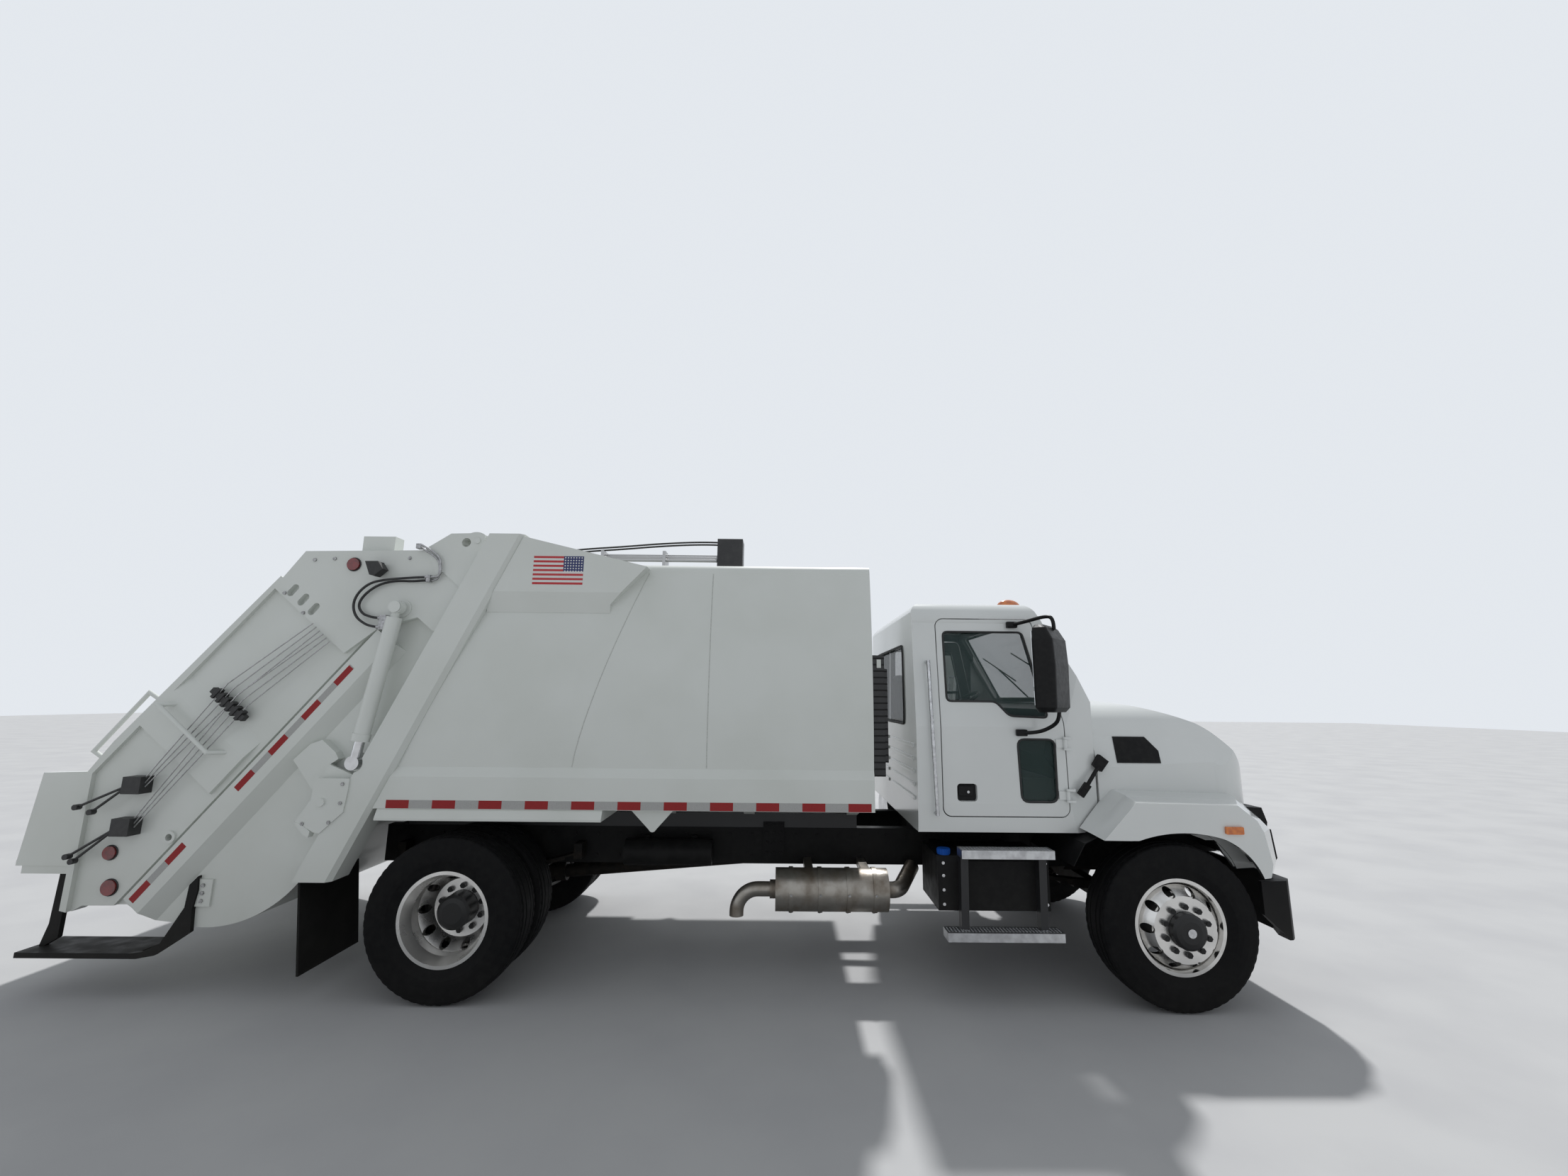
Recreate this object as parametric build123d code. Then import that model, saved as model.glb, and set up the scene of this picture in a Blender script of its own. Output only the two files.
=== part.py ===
"""Rear-loading garbage truck: two-axle bonneted chassis, hollow body, lifting tailgate and packer.

Millimetres.  X runs forward, Y to the truck's left, Z up from the ground.  The body, the tailgate
and the rear axle are drawn with X from the rear axle; the cab, the hood and what hangs under them
with X from the front axle.  save() moves both to an origin under the middle of the length.
"""
from math import cos, hypot, radians, sin
from build123d import *
import os

# Driving dimensions of the chassis
WHEELBASE = 4768
FRONT_OVERHANG = 810      # front axle to the bumper's face
REAR_REACH = 2941         # rear axle to the end of the hopper's wings
TYRE_R = 512
TYRE_WIDTH = 279
RIM_R = 286               # bead seat
FLANGE_R = 300
RIM_WIDTH = 236
FRONT_TRACK = 2180        # between the middles of the front tyres
REAR_TRACK = 1782         # between the middles of the two twin sets
DISC_OFFSET = 168         # wheel's middle to its disc's mounting face
DISC_THICK = 24
HUB_R = 110
SPINDLE_R = 42
FRONT_HUB_REACH = 62      # hub beyond the disc
REAR_HUB_REACH = 165
KINGPIN_Y = 880
KINGPIN_R = 24
STUD_CIRCLE = 285.75
STUD_R = 15               # over the nuts
STUDS = 10
NUT = 26
HAND_HOLES = 10
RUNNING = 0.5             # radial clearance of what turns
SEAT = 0.3                # clearance of what rests on another body

RAIL_OUTER_Y = 432
RAIL_BOTTOM = 690
RAIL_HEIGHT = 266
RAIL_FLANGE = 88
RAIL_THICK = 12
RAIL_REAR = -850
RAIL_NOSE_GAP = 248       # rails end behind the bumper's face

# Driving dimensions of the body
BODY_HALF = 1219          # half width over the bottom rails
BODY_CAB_GAP = 323        # body's front wall to the cab
FLOOR_Z = 1204
FLOOR_THICK = 30
WALL = 40
ROOF_Z = 2890
SILL_TOP = 1062           # top of the subframe's sills
POST_TOP = (104, 3070)    # rear edge of the slanted post
POST_FOOT = (-955, 749)
POST_WIDTH = 240
POST_BEVEL = 30
HINGE = (-5, 3031)        # tailgate hinge
HINGE_EYE_R = 62
PIN_R = 30
GATE_GAP = 12             # tailgate behind the post

# Driving dimensions of the tailgate
TROUGH = (-1572, 1121)    # middle of the hopper's curved floor
TROUGH_R = 688
BLADE_R = 560             # packer blade from its hinge to its lip
SLIDE_STROKE = 800
SLIDE_ANGLE = 51          # of the slide's tracks above level
SHOE = 45                 # half height of the slide's shoes

# Driving dimensions of the cab, with X from the front axle
CAB_HALF = 1045
CAB_REAR = -1642
CAB_FLOOR = 1050
CAB_ROOF = 2672
CAB_WALL = 42
DOOR_GAP = 7
HOOD_HALF = 985
FENDER_HALF = 1242
HOOD_SKIN = 28
BUMPER_TOP = 800
BUMPER_BOTTOM = 442
NOSE_GAP = 30             # hood above the bumper
HOOD_HINGE_R = 18

AXLE_Z = TYRE_R
FRONT_REACH = WHEELBASE + FRONT_OVERHANG
MIDDLE_X = (FRONT_REACH - REAR_REACH) / 2
BODY_FRONT = WHEELBASE + CAB_REAR - BODY_CAB_GAP
SIDE_HALF = BODY_HALF - 49            # beam of the tailgate's walls and the slanted rear frame
POST_HALF = BODY_HALF + 21
GATE_INNER = BODY_HALF - 169
GATE_BASE = GATE_INNER + 60           # outer face of the walls' plates
GATE_PANEL = GATE_BASE + 25
GATE_RAISED = GATE_BASE + 55
GATE_BEAM = GATE_BASE + 65
BLADE_HALF = GATE_INNER - 44
LEAN = (POST_TOP[0] - POST_FOOT[0]) / (POST_TOP[1] - POST_FOOT[1])


# Drawing helpers
def face_of(plane, points):
    """Closed face on a plane. A point is a corner; a pair of points is an arc's middle and end."""
    here, edges = points[0], []
    for step in points[1:] + points[:1]:
        if isinstance(step[0], tuple):
            edges.append(ThreePointArc(here, *step))
            here = step[1]
        elif step != here:
            edges.append(Line(here, step))
            here = step
    return plane * make_face(edges)


def slab_y(points, low, high):
    """Outline in X and Z, between two values of Y."""
    plane = Plane((0, high, 0), x_dir=(1, 0, 0), z_dir=(0, -1, 0))
    return extrude(face_of(plane, points), high - low)


def slab_x(points, low, high):
    """Outline in Y and Z, between two values of X."""
    plane = Plane((low, 0, 0), x_dir=(0, 1, 0), z_dir=(1, 0, 0))
    return extrude(face_of(plane, points), high - low)


def slab_z(points, low, high):
    """Outline in X and Y, between two values of Z."""
    return extrude(face_of(Plane((0, 0, low)), points), high - low)


def block(x, y, z):
    """Block between (low, high) pairs."""
    centre = [(a + b) / 2 for a, b in (x, y, z)]
    return Pos(*centre) * Box(abs(x[1] - x[0]), abs(y[1] - y[0]), abs(z[1] - z[0]))


def bar(start, end, radius):
    """Round bar between two points."""
    start, end = Vector(*start), Vector(*end)
    return Plane(start, z_dir=end - start) * extrude(Circle(radius), (end - start).length)


def drum_y(centre, low, high, radius):
    """Cylinder along Y around an (x, z) centre."""
    return bar((centre[0], low, centre[1]), (centre[0], high, centre[1]), radius)


def pipe(points, radius, bends):
    """Round pipe along straight runs with one radius at every bend."""
    path = FilletPolyline(*points, radius=bends)
    return sweep(Plane(path @ 0, z_dir=path % 0) * Circle(radius), path)


def bent_bar(points, radius):
    """Round bar along straight runs with a mitre at every bend."""
    path = Polyline(*points)
    return sweep(Plane(path @ 0, z_dir=path % 0) * Circle(radius), path, transition=Transition.RIGHT)


def mirrored(shape):
    """The shape and its mirror image on the other side of the truck."""
    return [shape, mirror(shape, Plane.XZ)]


def both(shape):
    """Shape and its mirror image as one solid."""
    return shape + mirror(shape, Plane.XZ)


def polar(centre, radius, angle):
    """Point in X and Z at an angle above forward."""
    return (centre[0] + radius * cos(radians(angle)), centre[1] + radius * sin(radians(angle)))


def rounded(points, radius):
    """Flat X-Z outline with every corner rounded."""
    face = make_face(Polyline(*points, close=True))
    return fillet(face.vertices(), radius)


def prism_of(face, low, high):
    """Flat X-Z face extruded between two values of Y."""
    plane = Plane((0, high, 0), x_dir=(1, 0, 0), z_dir=(0, -1, 0))
    return extrude(plane * face, high - low)


def largest(shape):
    """Biggest solid of a shape, on its own."""
    return Compound(children=[max(shape.solids(), key=lambda s: s.volume)])


def post_x(z):
    """Rear edge of the slanted post at a height."""
    return POST_FOOT[0] + (z - POST_FOOT[1]) * LEAN


def gate_x(z):
    """Front edge of the tailgate at a height."""
    return post_x(z) - GATE_GAP


def save(name, *shapes, datum=0):
    """Write one node, drawn with X from a datum, with its origin under the middle of the length."""
    solids = []
    for shape in shapes:
        solids += shape.solids() if hasattr(shape, "solids") else [s for p in shape for s in p.solids()]
    moved = [Pos(datum - MIDDLE_X, 0, 0) * solid for solid in solids]
    whole = moved[0] if len(moved) == 1 else Compound(children=moved)
    export_step(whole, f"parts/{name}.step")


os.makedirs("parts", exist_ok=True)


# Wheels. Each is drawn around its own middle with its disc towards +Y, then placed.
def tyre():
    """Tyre section revolved about Y: bulged side walls and square shoulders."""
    half = TYRE_WIDTH / 2
    tread_half = half - 24
    bead = RIM_WIDTH / 2 - 16
    section = [(RIM_R, -bead), (FLANGE_R + 4, -bead), ((RIM_R + 105, -half), (TYRE_R - 45, -half + 8)),
               (TYRE_R - 6, -tread_half), ((TYRE_R, 0), (TYRE_R - 6, tread_half)), (TYRE_R - 45, half - 8),
               ((RIM_R + 105, half), (FLANGE_R + 4, bead)), (RIM_R, bead)]
    return revolve(face_of(Plane.XY, section), Axis.Y)


def rim_and_disc():
    """Forged wheel: drop-centre rim and dished disc with round hand holes."""
    half = RIM_WIDTH / 2
    seat = RIM_R - SEAT
    rim = [(RIM_R - 12, -half), (FLANGE_R, -half), (FLANGE_R, -half + 10), (seat, -half + 14),
           (seat, -half + 50), (RIM_R - 26, -half + 80), (RIM_R - 26, half - 80), (seat, half - 50),
           (seat, half - 14), (FLANGE_R, half - 10), (FLANGE_R, half), (RIM_R - 12, half),
           (RIM_R - 42, half - 82), (RIM_R - 42, -half + 82)]
    face = DISC_OFFSET - DISC_THICK
    disc = [(HUB_R - 2, face), (188, face), (252, 62), (RIM_R - 30, 62), (RIM_R - 30, 90), (256, 90),
            (202, DISC_OFFSET), (HUB_R - 2, DISC_OFFSET)]
    holes = [Rot(0, 360 / HAND_HOLES * i, 0) * bar((226, 40, 0), (226, 200, 0), 28) for i in range(HAND_HOLES)]
    return revolve(face_of(Plane.XY, rim), Axis.Y) + revolve(face_of(Plane.XY, disc), Axis.Y) - holes


def hub_and_drum(hub_end, nut_end):
    """Hub on its spindle, brake drum and wheel nuts; both ends are measured from the rim's middle."""
    face = DISC_OFFSET - DISC_THICK
    drum = [(HUB_R - 2, face - 20), (186, face - 20), (186, -60), (204, -60), (204, face), (HUB_R - 2, face)]
    bore = SPINDLE_R + RUNNING
    hub = [(bore, -70), (HUB_R - 20, -70), (HUB_R, face - 30), (HUB_R, hub_end - 20), (HUB_R - 16, hub_end - 6),
           (66, hub_end), (0, hub_end), (0, hub_end - 16), (bore, hub_end - 16)]
    studs = [Rot(0, 360 / STUDS * (i + 0.5), 0) * bar((STUD_CIRCLE / 2, DISC_OFFSET - 2, 0),
             (STUD_CIRCLE / 2, nut_end, 0), STUD_R) for i in range(STUDS)]
    return revolve(face_of(Plane.XY, hub), Axis.Y) + revolve(face_of(Plane.XY, drum), Axis.Y) + studs


rear_mate_y = REAR_TRACK / 2
rear_outer_y = rear_mate_y + DISC_OFFSET
rear_inner_y = rear_mate_y - DISC_OFFSET
rear_wheel = Pos(0, rear_inner_y, AXLE_Z) * (
    rim_and_disc() + hub_and_drum(DISC_OFFSET + REAR_HUB_REACH, DISC_OFFSET + DISC_THICK + NUT))
rear_wheel += Pos(0, rear_outer_y, AXLE_Z) * mirror(rim_and_disc(), Plane.XZ)
rear_tyres = [Pos(0, y, AXLE_Z) * tyre() for y in (rear_outer_y, rear_inner_y)]

front_y = FRONT_TRACK / 2
front_wheel = Pos(0, front_y, AXLE_Z) * (
    rim_and_disc() + hub_and_drum(DISC_OFFSET + FRONT_HUB_REACH, DISC_OFFSET + NUT))
front_tyre = Pos(0, front_y, AXLE_Z) * tyre()

for side, turn in (("left", lambda s: s), ("right", lambda s: mirror(s, Plane.XZ))):
    save(f"tyres_rear_{side}", *[turn(t) for t in rear_tyres])
    save(f"wheels_rear_{side}", turn(rear_wheel))
    save(f"tyre_front_{side}", turn(front_tyre), datum=WHEELBASE)
    save(f"wheel_front_{side}", turn(front_wheel), datum=WHEELBASE)

# Front axle: dropped beam with rounded ends that the knuckles' forks turn about
front_spring_y = RAIL_OUTER_Y - 42
pad_top = AXLE_Z + 10
beam = [(-KINGPIN_Y, AXLE_Z - 60), (-KINGPIN_Y + 60, AXLE_Z - 60), (-600, AXLE_Z - 130), (600, AXLE_Z - 130),
        (KINGPIN_Y - 60, AXLE_Z - 60), (KINGPIN_Y, AXLE_Z - 60), (KINGPIN_Y, AXLE_Z + 60),
        (KINGPIN_Y - 60, AXLE_Z + 60), (600, AXLE_Z - 20), (-600, AXLE_Z - 20), (-KINGPIN_Y + 60, AXLE_Z + 60),
        (-KINGPIN_Y, AXLE_Z + 60)]
front_axle = slab_x(beam, -45, 45)
for sign in (-1, 1):
    pin_y, spring_y = sign * KINGPIN_Y, sign * front_spring_y
    front_axle += bar((0, pin_y, AXLE_Z - 60), (0, pin_y, AXLE_Z + 60), 45)
    front_axle += block((-75, 75), (spring_y - 50, spring_y + 50), (AXLE_Z - 30, pad_top))
    front_axle -= bar((0, pin_y, AXLE_Z - 120), (0, pin_y, AXLE_Z + 120), KINGPIN_R + RUNNING)
save("front_axle", front_axle, datum=WHEELBASE)

knuckle_reach = front_y + DISC_OFFSET + FRONT_HUB_REACH - 24
knuckle = block((-60, 60), (KINGPIN_Y + 54, KINGPIN_Y + 74), (AXLE_Z - 110, AXLE_Z + 110))
knuckle += [block((-48, 48), (KINGPIN_Y - 45, KINGPIN_Y + 74), z)
            for z in ((AXLE_Z - 110, AXLE_Z - 66), (AXLE_Z + 66, AXLE_Z + 110))]
knuckle += bar((0, KINGPIN_Y, AXLE_Z - 112), (0, KINGPIN_Y, AXLE_Z + 112), KINGPIN_R)
knuckle += drum_y((0, AXLE_Z), KINGPIN_Y + 60, knuckle_reach, SPINDLE_R)
knuckle += block((-190, -40), (KINGPIN_Y - 20, KINGPIN_Y + 20), (AXLE_Z - 110, AXLE_Z - 80))
save("knuckle_left", knuckle, datum=WHEELBASE)
save("knuckle_right", mirror(knuckle, Plane.XZ), datum=WHEELBASE)

# Rear axle: tube, differential housing and spring seats
axle_tube_r = 66
rear_tube = rear_inner_y - 80
rear_spindle = rear_mate_y + REAR_HUB_REACH - 24
pinion_x = 330
rear_axle = drum_y((0, AXLE_Z), -rear_tube, rear_tube, axle_tube_r)
rear_axle += drum_y((0, AXLE_Z), -rear_spindle, rear_spindle, SPINDLE_R)
housing = Pos(0, 0, AXLE_Z) * Rot(0, 90, 0)
rear_axle += housing * Cone(215, 150, 130, align=(Align.CENTER, Align.CENTER, Align.MAX))
rear_axle += housing * Cone(215, 90, 240, align=(Align.CENTER, Align.CENTER, Align.MIN))
rear_axle += bar((200, 0, AXLE_Z), (pinion_x, 0, AXLE_Z), 62)
rear_spring_y = RAIL_OUTER_Y + 80
rear_seat_z = AXLE_Z + 92
rear_axle += [block((-80, 80), (s * rear_spring_y - 46, s * rear_spring_y + 46), (AXLE_Z - 30, rear_seat_z))
              for s in (-1, 1)]
save("rear_axle", rear_axle)


def spring_pack(seat_z, eye_z, half_length, leaves, width):
    """Bowed leaf pack: each leaf below the top one is shorter."""
    thick = 14
    pack = None
    for leaf in range(leaves):
        reach = half_length * (1 - 0.16 * leaf)
        rise = (eye_z - seat_z - leaves * thick) * (reach / half_length) ** 2
        top = seat_z + (leaves - leaf) * thick
        low = top - thick - 0.01 * leaf
        curve = [(-reach, top + rise), ((0, top), (reach, top + rise)), (reach, low + rise),
                 ((0, low), (-reach, low + rise))]
        solid = slab_y(curve, -width / 2, width / 2)
        pack = solid if pack is None else pack + solid
    return pack


front_spring = Pos(WHEELBASE, front_spring_y, 0) * spring_pack(pad_top + SEAT, 640, 640, 4, 84)
front_spring += [block((WHEELBASE + s * 640 - 24, WHEELBASE + s * 640 + 24), (front_spring_y - 42, front_spring_y + 42),
                       (610, RAIL_BOTTOM - SEAT)) for s in (-1, 1)]
rear_spring = Pos(0, rear_spring_y, 0) * spring_pack(rear_seat_z + SEAT, 790, 660, 6, 84)
rear_spring += [block((s * 660 - 30, s * 660 + 30), (RAIL_OUTER_Y + SEAT, rear_spring_y + 42), (740, 850))
                for s in (-1, 1)]
save("leaf_springs", mirrored(front_spring), mirrored(rear_spring))

# Chassis frame: two channels open inwards, with crossmembers between them
rail_top = RAIL_BOTTOM + RAIL_HEIGHT
rail_front = FRONT_REACH - RAIL_NOSE_GAP
channel = [(RAIL_OUTER_Y, RAIL_BOTTOM), (RAIL_OUTER_Y, rail_top), (RAIL_OUTER_Y - RAIL_FLANGE, rail_top),
           (RAIL_OUTER_Y - RAIL_FLANGE, rail_top - RAIL_THICK), (RAIL_OUTER_Y - RAIL_THICK, rail_top - RAIL_THICK),
           (RAIL_OUTER_Y - RAIL_THICK, RAIL_BOTTOM + RAIL_THICK),
           (RAIL_OUTER_Y - RAIL_FLANGE, RAIL_BOTTOM + RAIL_THICK), (RAIL_OUTER_Y - RAIL_FLANGE, RAIL_BOTTOM)]
frame = both(slab_x(channel, RAIL_REAR, rail_front))
cross_inner = RAIL_OUTER_Y - RAIL_THICK + 2
for x in (RAIL_REAR + 60, 560, 1500, 2400, 3300, rail_front - 60):
    frame += block((x - 40, x + 40), (-cross_inner, cross_inner), (rail_top - 150, rail_top - RAIL_THICK - 4))
    frame -= block((x - 30, x + 30), (-cross_inner + 40, cross_inner - 40), (rail_top - 160, rail_top - 40))
# plates that tie the body's sills to the rails
mount_x = (BODY_FRONT - 755, BODY_FRONT - 592)
mount_plate = block(mount_x, (RAIL_OUTER_Y + SEAT, RAIL_OUTER_Y + 14), (733, 997))
mount_plate += block(mount_x, (RAIL_OUTER_Y - 2, RAIL_OUTER_Y + 2), (740, rail_top - 2))
frame += both(mount_plate)
# brackets that hold the bumper, and the hood's hinge arms
bumper_back = FRONT_REACH - 60
hood_hinge = (FRONT_REACH - 20, BUMPER_TOP + NOSE_GAP)
hinge_arm = [(rail_front - 90, 700), (rail_front + 110, 700), (FRONT_REACH - 90, BUMPER_TOP + 8),
             (FRONT_REACH - 4, BUMPER_TOP + 8), (FRONT_REACH, hood_hinge[1]), (FRONT_REACH - 20, hood_hinge[1] + 20),
             (FRONT_REACH - 120, hood_hinge[1] + 20), (rail_front - 90, BUMPER_TOP)]
for sign in (-1, 1):
    frame += block((rail_front - 2, bumper_back - SEAT), (sign * 350, sign * 430), (RAIL_BOTTOM, RAIL_BOTTOM + 50))
    frame += slab_y(hinge_arm, *sorted((sign * (RAIL_OUTER_Y - 27), sign * RAIL_OUTER_Y)))
    frame += drum_y(hood_hinge, *sorted((sign * (RAIL_OUTER_Y - 7), sign * (RAIL_OUTER_Y + 36))), 10)
save("chassis_frame", frame)

# Bumper: pressed channel with a sloped top edge, swept back at its corners
end_y = FENDER_HALF - 8
bumper_half = [(FRONT_REACH, 1000), ((FRONT_REACH - 20, 1120), (FRONT_REACH - 95, end_y - 20)),
               (FRONT_REACH - 275, end_y), (FRONT_REACH - 275, end_y - 28), (FRONT_REACH - 140, end_y - 70),
               (bumper_back, 1000)]
bumper_other = [(FRONT_REACH - 140, 70 - end_y), (FRONT_REACH - 275, 28 - end_y), (FRONT_REACH - 275, -end_y),
                (FRONT_REACH - 95, 20 - end_y), ((FRONT_REACH - 20, -1120), (FRONT_REACH, -1000))]
bumper_plan = bumper_half + [(bumper_back, -1000)] + bumper_other
bumper = slab_z(bumper_plan, BUMPER_BOTTOM, BUMPER_TOP)
top_edge = [(FRONT_REACH - 80, BUMPER_TOP + 10), (FRONT_REACH - 40, BUMPER_TOP + 10), (FRONT_REACH + 20, BUMPER_TOP + 10),
            (FRONT_REACH + 20, BUMPER_TOP - 70), (FRONT_REACH, BUMPER_TOP - 55), (FRONT_REACH - 40, BUMPER_TOP)]
bumper -= slab_y(top_edge[1:], -1300, 1300)
corner_cut = [(FRONT_REACH - 320, BUMPER_BOTTOM - 10), (FRONT_REACH - 110, BUMPER_BOTTOM - 10),
              (FRONT_REACH - 150, BUMPER_BOTTOM + 40), (FRONT_REACH - 320, BUMPER_BOTTOM + 195)]
bumper -= slab_y(corner_cut, -1300, 1300)
save("front_bumper", bumper)

# Engine with its gearbox: one plain mass on the rails
engine = block((-328, 462), (-310, 310), (620, 1500))
engine = chamfer(engine.edges().filter_by(Axis.X), 60)
engine += bar((-1208, 0, 790), (-308, 0, 790), 210) + bar((-1348, 0, 760), (-1198, 0, 760), 90)
engine += [block((x, x + 90), (s * 304, s * 400), (rail_top + SEAT, rail_top + 60))
           for s in (-1, 1) for x in (-268, 312)]
save("engine_block", engine, datum=WHEELBASE)

shaft_front, shaft_rear = (WHEELBASE - 1348 - 4.5, 0, 760), (pinion_x + 6.5, 0, AXLE_Z)
drive_shaft = bar(shaft_rear, shaft_front, 50)
drive_shaft += bar(shaft_rear, (pinion_x + 90, 0, AXLE_Z + 7), 74)
save("drive_shaft", drive_shaft)

# Left fuel tank and right fluid tank under the cab's doors
TANK_X = (-1588, -688)
fuel_section = [(480, 600), (600, 470), (960, 470), ((1060, 500), (1090, 600)), (1090, 880),
                ((1060, 980), (960, 1010)), (600, 1010), (480, 880)]
fuel_tank = slab_x(fuel_section, *TANK_X)
fuel_tank += [block((x, x + 70), (RAIL_OUTER_Y + SEAT, 482), (620, 900)) for x in (-1468, -888)]
save("fuel_tank", fuel_tank, datum=WHEELBASE)
fluid_tank = slab_x([(-1070, 560), (-600, 560), (-600, 900), (-1040, 900), (-1070, 870)], -1528, -778)
fluid_tank += bar((-1468, -1000, 880), (-1468, -1000, 940), 42)
fluid_tank += [block((x, x + 70), (-602, -RAIL_OUTER_Y - SEAT), (700, 880)) for x in (-1438, -938)]
save("fluid_tank", fluid_tank, datum=WHEELBASE)

# Cab steps: aluminium treads on hanging brackets
STEP_TREADS = (   # x low, x high, top, depth in Y
    (-1397, -783, 969, 118),
    (-1503, -748, 464, 126),
)
STEP_EDGE = CAB_HALF + 155
steps_right = None
for low, high, top, depth in STEP_TREADS:
    tread = block((low, high), (-STEP_EDGE, -STEP_EDGE + depth), (top - 54, top))
    steps_right = tread if steps_right is None else steps_right + tread
for x in (-1418 + 30, -868):
    hanger = [(x, 969 - 30), (x + 50, 969 - 30), (x + 40, 430), (x - 10, 430)]
    steps_right += slab_y(hanger, -STEP_EDGE + 60, -1070 - SEAT)
steps_left = mirror(steps_right, Plane.XZ)
steps_left += [block((x, x + 50), (1080, STEP_EDGE - 70), (500, 560)) for x in (-1378, -888)]
steps_left -= fuel_tank
steps_left = [s for s in steps_left.solids() if s.volume > 1e6]
save("cab_steps", steps_right, steps_left, datum=WHEELBASE)

# Exhaust: canister with clamp bands, end cone and a tail that turns down
EXHAUST_X = (-2620, -1823)
exhaust_y, exhaust_z, exhaust_r, tail_r = -760, 600, 143, 50
ex_low, ex_high = EXHAUST_X
exhaust = bar((ex_low, exhaust_y, exhaust_z), (ex_high, exhaust_y, exhaust_z), exhaust_r)
exhaust += [bar((x, exhaust_y, exhaust_z), (x + 30, exhaust_y, exhaust_z), exhaust_r + 7)
            for x in (ex_low + 95, ex_low + 300, ex_low + 500, ex_high - 110)]
exhaust += pipe([(ex_low + 20, exhaust_y, exhaust_z), (ex_low - 275, exhaust_y, exhaust_z),
                 (ex_low - 275, exhaust_y, 423)], tail_r, 150)
exhaust += bar((ex_low - 40, exhaust_y, exhaust_z), (ex_low + 10, exhaust_y, exhaust_z), tail_r + 12)
exhaust += pipe([(ex_high - 20, exhaust_y, exhaust_z), (ex_high + 90, exhaust_y, exhaust_z),
                 (ex_high + 230, -520, exhaust_z + 100)], 55, 90)
exhaust += [block((x, x + 60), (exhaust_y, -RAIL_OUTER_Y - SEAT), (exhaust_z + 90, exhaust_z + 140))
            for x in (ex_low + 210, ex_high - 180)]
save("exhaust", exhaust, datum=WHEELBASE)


# Cab: outer and inner forms are each three crossed prisms, so the shell keeps one wall thickness
def cab_form(inset):
    """Cab's solid form drawn in by a wall: side, front and plan outlines crossed."""
    rear, top = CAB_REAR + inset, CAB_ROOF - inset
    side = [(rear, CAB_FLOOR + inset), (rear, 2520), ((rear + 26, 2628 - inset * 0.7), (rear + 105, top - 8)),
            ((rear + 400, top + 8), (-838, top)), ((-765 - inset * 0.5, top - 28), (-712 - inset, top - 100)),
            (-368 - inset * 1.1, 1935), (-368 - inset, 1240), (-438 - inset, CAB_FLOOR + inset)]
    half = CAB_HALF - inset
    front = [(half - 15, CAB_FLOOR + inset), (half, 1240), (half, 1760), (half - 80, 2500),
             ((half - 110, top - 60), (half - 200, top - 14)), ((0, top + 10), (200 - half, top - 14)),
             ((110 - half, top - 60), (80 - half, 2500)), (-half, 1760), (-half, 1240), (15 - half, CAB_FLOOR + inset)]
    plan = [(rear, -half), (-588, -half), (-368 - inset, -half + 70),
            (-368 - inset, half - 70), (-588, half), (rear, half)]
    wide = CAB_HALF + 10
    return (slab_y(side, -wide, wide) & slab_x(front, CAB_REAR - 10, -268)) & slab_z(plan, CAB_FLOOR - 10, CAB_ROOF + 60)


cab_outer, cab_inner = cab_form(0), cab_form(CAB_WALL)
cab_skin = cab_outer - cab_inner
# outlines in X and Z of the door and of its two panes
DOOR = [(-1472, 1150), (-590, 1150), (-596, 1790), (-762, 2535), (-1472, 2535)]
WINDOW = [(-1416, 1935), (-1068, 1935), (-978, 1835), (-706, 1825), (-836, 2435), (-1416, 2435)]
LOW_WINDOW = [(-922, 1254), (-675, 1254), (-673, 1675), (-934, 1675)]
WINDOW_R, LOW_WINDOW_R = 26, 42
side_low, side_high = CAB_HALF - 190, CAB_HALF + 20
door_face = rounded(DOOR, 62)
window_face, low_window_face = rounded(WINDOW, WINDOW_R), rounded(LOW_WINDOW, LOW_WINDOW_R)
doorway = prism_of(door_face, side_low, side_high)
door_block = prism_of(offset(door_face, -DOOR_GAP), side_low, side_high)
window_cut = prism_of(window_face, side_low, side_high)
low_window_cut = prism_of(low_window_face, side_low, side_high)


def screen_outline(less):
    """Windscreen's outline in Y and Z, drawn in a little."""
    return [(-870 + less, 1965 + less), (870 - less, 1965 + less), (830 - less, 2550 - less), (-830 + less, 2550 - less)]


def rear_outline(less):
    """Rear window's outline in Y and Z, drawn in a little."""
    return [(-640 + less, 1760 + less), (640 - less, 1760 + less), (620 - less, 2360 - less), (-620 + less, 2360 - less)]


screen_cut = slab_x(screen_outline(0), -758, -318)
rear_window_cut = slab_x(rear_outline(0), CAB_REAR - 10, CAB_REAR + 60)
cab_shell = cab_skin - screen_cut - rear_window_cut - doorway - mirror(doorway, Plane.XZ)
# tunnel over the engine and the gearbox
cab_shell -= block((CAB_REAR + 500, -268), (-300, 300), (CAB_FLOOR - 5, CAB_FLOOR + CAB_WALL + 5))
cab_shell += block((CAB_REAR + 480, -408), (-330, 330), (CAB_FLOOR + CAB_WALL - 10, 1330))
cab_shell -= block((CAB_REAR + 450, -348), (-312, 312), (CAB_FLOOR - 20, 1310))
cab_shell += [block((x, x + 90), (s * 340, s * 460), (rail_top + SEAT, CAB_FLOOR + 10))
              for s in (-1, 1) for x in (-1548, -718)]
cab_shell = largest(cab_shell)
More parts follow.
